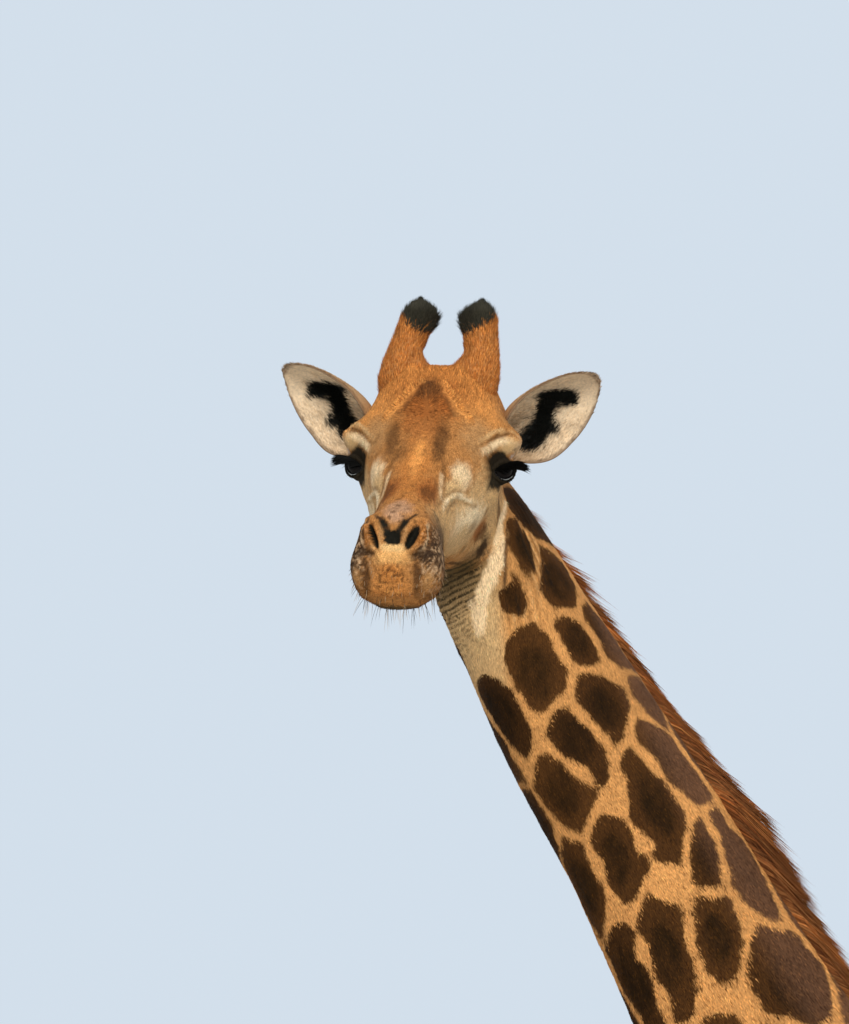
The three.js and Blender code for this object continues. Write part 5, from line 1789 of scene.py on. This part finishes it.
def mane():
    hair = Hair("mane_hair")
    amount = 14500
    down = random.uniform(0.0, 1.83, amount)
    aside = random.uniform(-1, 1, amount)
    centre, deep, along, crest, side = SPINE.at(down)
    guess = centre + crest * deep[:, None] + side * (aside * MANE_HALF)[:, None]
    roots = np.array([skin_tree.find_nearest(point)[0][:] for point in guess.tolist()])
    beside = roots + side * np.sign(aside)[:, None] * 0.05 - crest * 0.02
    _, _, edge = coat.read(beside, side)
    dark = smoothstep(-8, 10, edge + random.normal(size=amount) * 6)
    inner = random.uniform(size=amount) < 0.45
    colour = np.where(inner[:, None], np.array((0.66, 0.27, 0.080)), np.array((0.46, 0.15, 0.036)))
    colour = mix(colour, (0.10, 0.040, 0.018), dark * 0.6)
    colour *= random.uniform(0.55, 1.4, amount)[:, None]
    high = np.interp(down * 1000, MANE_HIGH["down"], MANE_HIGH["high"]) / 1000
    high = high * random.uniform(0.70, 1.04, amount) * (1 - 0.35 * aside ** 2)
    locks = wobble(np.stack([down, aside * 0.02, aside * 0], 1), 0.05, 61)
    spread = side * (aside * 0.20 + 0.12 * locks)[:, None] + random.normal(size=(amount, 3)) * 0.06
    leaning = smoothstep(0.16, 0.40, down)
    ways = unit(crest + spread + along * (0.50 + 0.50 * leaning + 0.15 * locks)[:, None])
    high = high * (1.25 + 0.45 * leaning + 0.10 * locks)
    bend = along * (0.40 + 0.30 * leaning + 0.10 * locks)[:, None] - crest * (0.12 * leaning)[:, None]
    bend = bend + random.normal(size=(amount, 3)) * 0.03
    places = into_map(np.stack([0.5 + aside * 0.45, down / 1.85], 1))
    hair.strands(roots - crest * 0.004, ways, high + 0.004, np.full(amount, 0.0026),
                 bend, colour, places, 2, 0.8)
    hair.finish(hair_finish("mane hair", 0.55), "mane_hair", "mane")


mane()

TUFT = np.array([
    (1300, -941, 16), (1200, -940, 26), (1040, -938, 36), (880, -936, 38), (760, -935, 30), (680, -934, 16),
    (640, -934, 4),
], float) / 1000


def tail_tuft():
    hair = Hair("tail_tuft_hair")
    amount = 1500
    turn, depth = random.uniform(0, 2 * math.pi, amount), np.sqrt(random.uniform(0, 1, amount))
    start = random.uniform(1.06, 1.30, amount)
    end = start - (start - 0.66) * random.uniform(0.55, 1.0, amount)
    level = lambda height: np.interp(-height, -TUFT[:, 0], TUFT[:, 2])
    line = lambda height: np.interp(-height, -TUFT[:, 0], TUFT[:, 1])
    def at(height, reach):
        spread = level(height) * reach
        return on_animal(line(height) + np.cos(turn) * spread, np.sin(turn) * spread, height)
    root, tip, half = at(start, depth * 0.5), at(end, depth * 0.94), at((start + end) / 2, depth * 0.98)
    length = start - end
    bend = 2 * (root + tip) - 4 * half
    ways = (tip - root - bend) / length[:, None]
    colour = np.tile(np.array((0.012, 0.010, 0.009)), (amount, 1)) * random.uniform(0.6, 2.0, amount)[:, None]
    places = into_map(np.stack([turn / (2 * math.pi), (start - 0.6) / 0.75], 1))
    hair.strands(root, ways, length, np.full(amount, 0.0042), bend / length[:, None], colour, places, 4, 1)
    hair.finish(hair_finish("tail hair", 0.45, 0.4), "tail_hair", "tail_tuft")


tail_tuft()

# ---------------------------------------------------------------- hooves

HOOF_FINISH = hoof_finish()
for leg in LEGS:
    name = "hoof_" + leg.replace("leg", "")
    bm = bmesh.new()
    bm.from_mesh(NODES[name].data)
    bmesh.ops.remove_doubles(bm, verts=bm.verts, dist=1e-5)
    bmesh.ops.recalc_face_normals(bm, faces=bm.faces)
    sharp = [edge for edge in bm.edges if edge.calc_face_angle(0) > math.radians(35)]
    bmesh.ops.bevel(bm, geom=sharp, offset=0.003, offset_type="OFFSET", segments=2,
                    profile=0.5, affect="EDGES", material=-1)
    new_object(f"{name}_shell", finished_mesh(bm, name), HOOF_FINISH, "hoof_horn", name)

# ---------------------------------------------------------------- camera, light and floor

CAMERA_AWAY, CAMERA_UP_ANGLE, LENS, SENSOR = 18.0, 6.7, 408.0, 36.0
AIM_ASIDE, AIM_BELOW = 0.009306, 0.068244  # how far from the middle of the eyes the camera aims
tilt = math.radians(CAMERA_UP_ANGLE)
place = Vector(EYE_MIDDLE) + Vector((0, -math.cos(tilt), -math.sin(tilt))) * CAMERA_AWAY
up = Vector((0, -math.sin(tilt), math.cos(tilt)))
target = Vector(EYE_MIDDLE) - Vector((1, 0, 0)) * AIM_ASIDE - up * AIM_BELOW
camera = bpy.data.objects.new("camera", bpy.data.cameras.new("camera"))
bpy.context.scene.collection.objects.link(camera)
camera.location = place
camera.rotation_euler = (target - place).to_track_quat("-Z", "Y").to_euler()
camera.data.lens = LENS
camera.data.sensor_width = SENSOR
camera.data.clip_end = 100
bpy.context.scene.camera = camera

sun = bpy.data.objects.new("sun", bpy.data.lights.new("sun", "SUN"))
bpy.context.scene.collection.objects.link(sun)
sun.data.energy = 2.35
sun.data.angle = math.radians(24)
sun.data.color = (1.0, 0.95, 0.88)
sun.rotation_euler = Vector((-0.10, 0.87, -0.47)).to_track_quat("-Z", "Y").to_euler()

world = bpy.data.worlds.new("pale day")
world.use_nodes = True
bpy.context.scene.world = world
nodes, links = world.node_tree.nodes, world.node_tree.links
backdrop, glow = nodes["Background"], nodes.new("ShaderNodeBackground")
backdrop.inputs["Color"].default_value = (0.650, 0.739, 0.832, 1)
glow.inputs["Color"].default_value = (0.98, 0.98, 1.0, 1)
glow.inputs["Strength"].default_value = 0.62
rays, chooser = nodes.new("ShaderNodeLightPath"), nodes.new("ShaderNodeMixShader")
links.new(rays.outputs["Is Camera Ray"], chooser.inputs["Fac"])
links.new(glow.outputs["Background"], chooser.inputs[1])
links.new(backdrop.outputs["Background"], chooser.inputs[2])
links.new(chooser.outputs["Shader"], nodes["World Output"].inputs["Surface"])
bpy.context.scene.view_settings.view_transform = "Standard"

floor_shape = bmesh.new()
bmesh.ops.create_grid(floor_shape, x_segments=1, y_segments=1, size=60)
floor_mesh = bpy.data.meshes.new("floor")
floor_shape.to_mesh(floor_mesh)
floor_shape.free()
floor = bpy.data.objects.new("floor", floor_mesh)
bpy.context.scene.collection.objects.link(floor)
plain = Finish("plain floor", 0.9)
plain.shader.inputs["Base Color"].default_value = (0.62, 0.61, 0.58, 1)
floor_mesh.materials.append(plain.material)
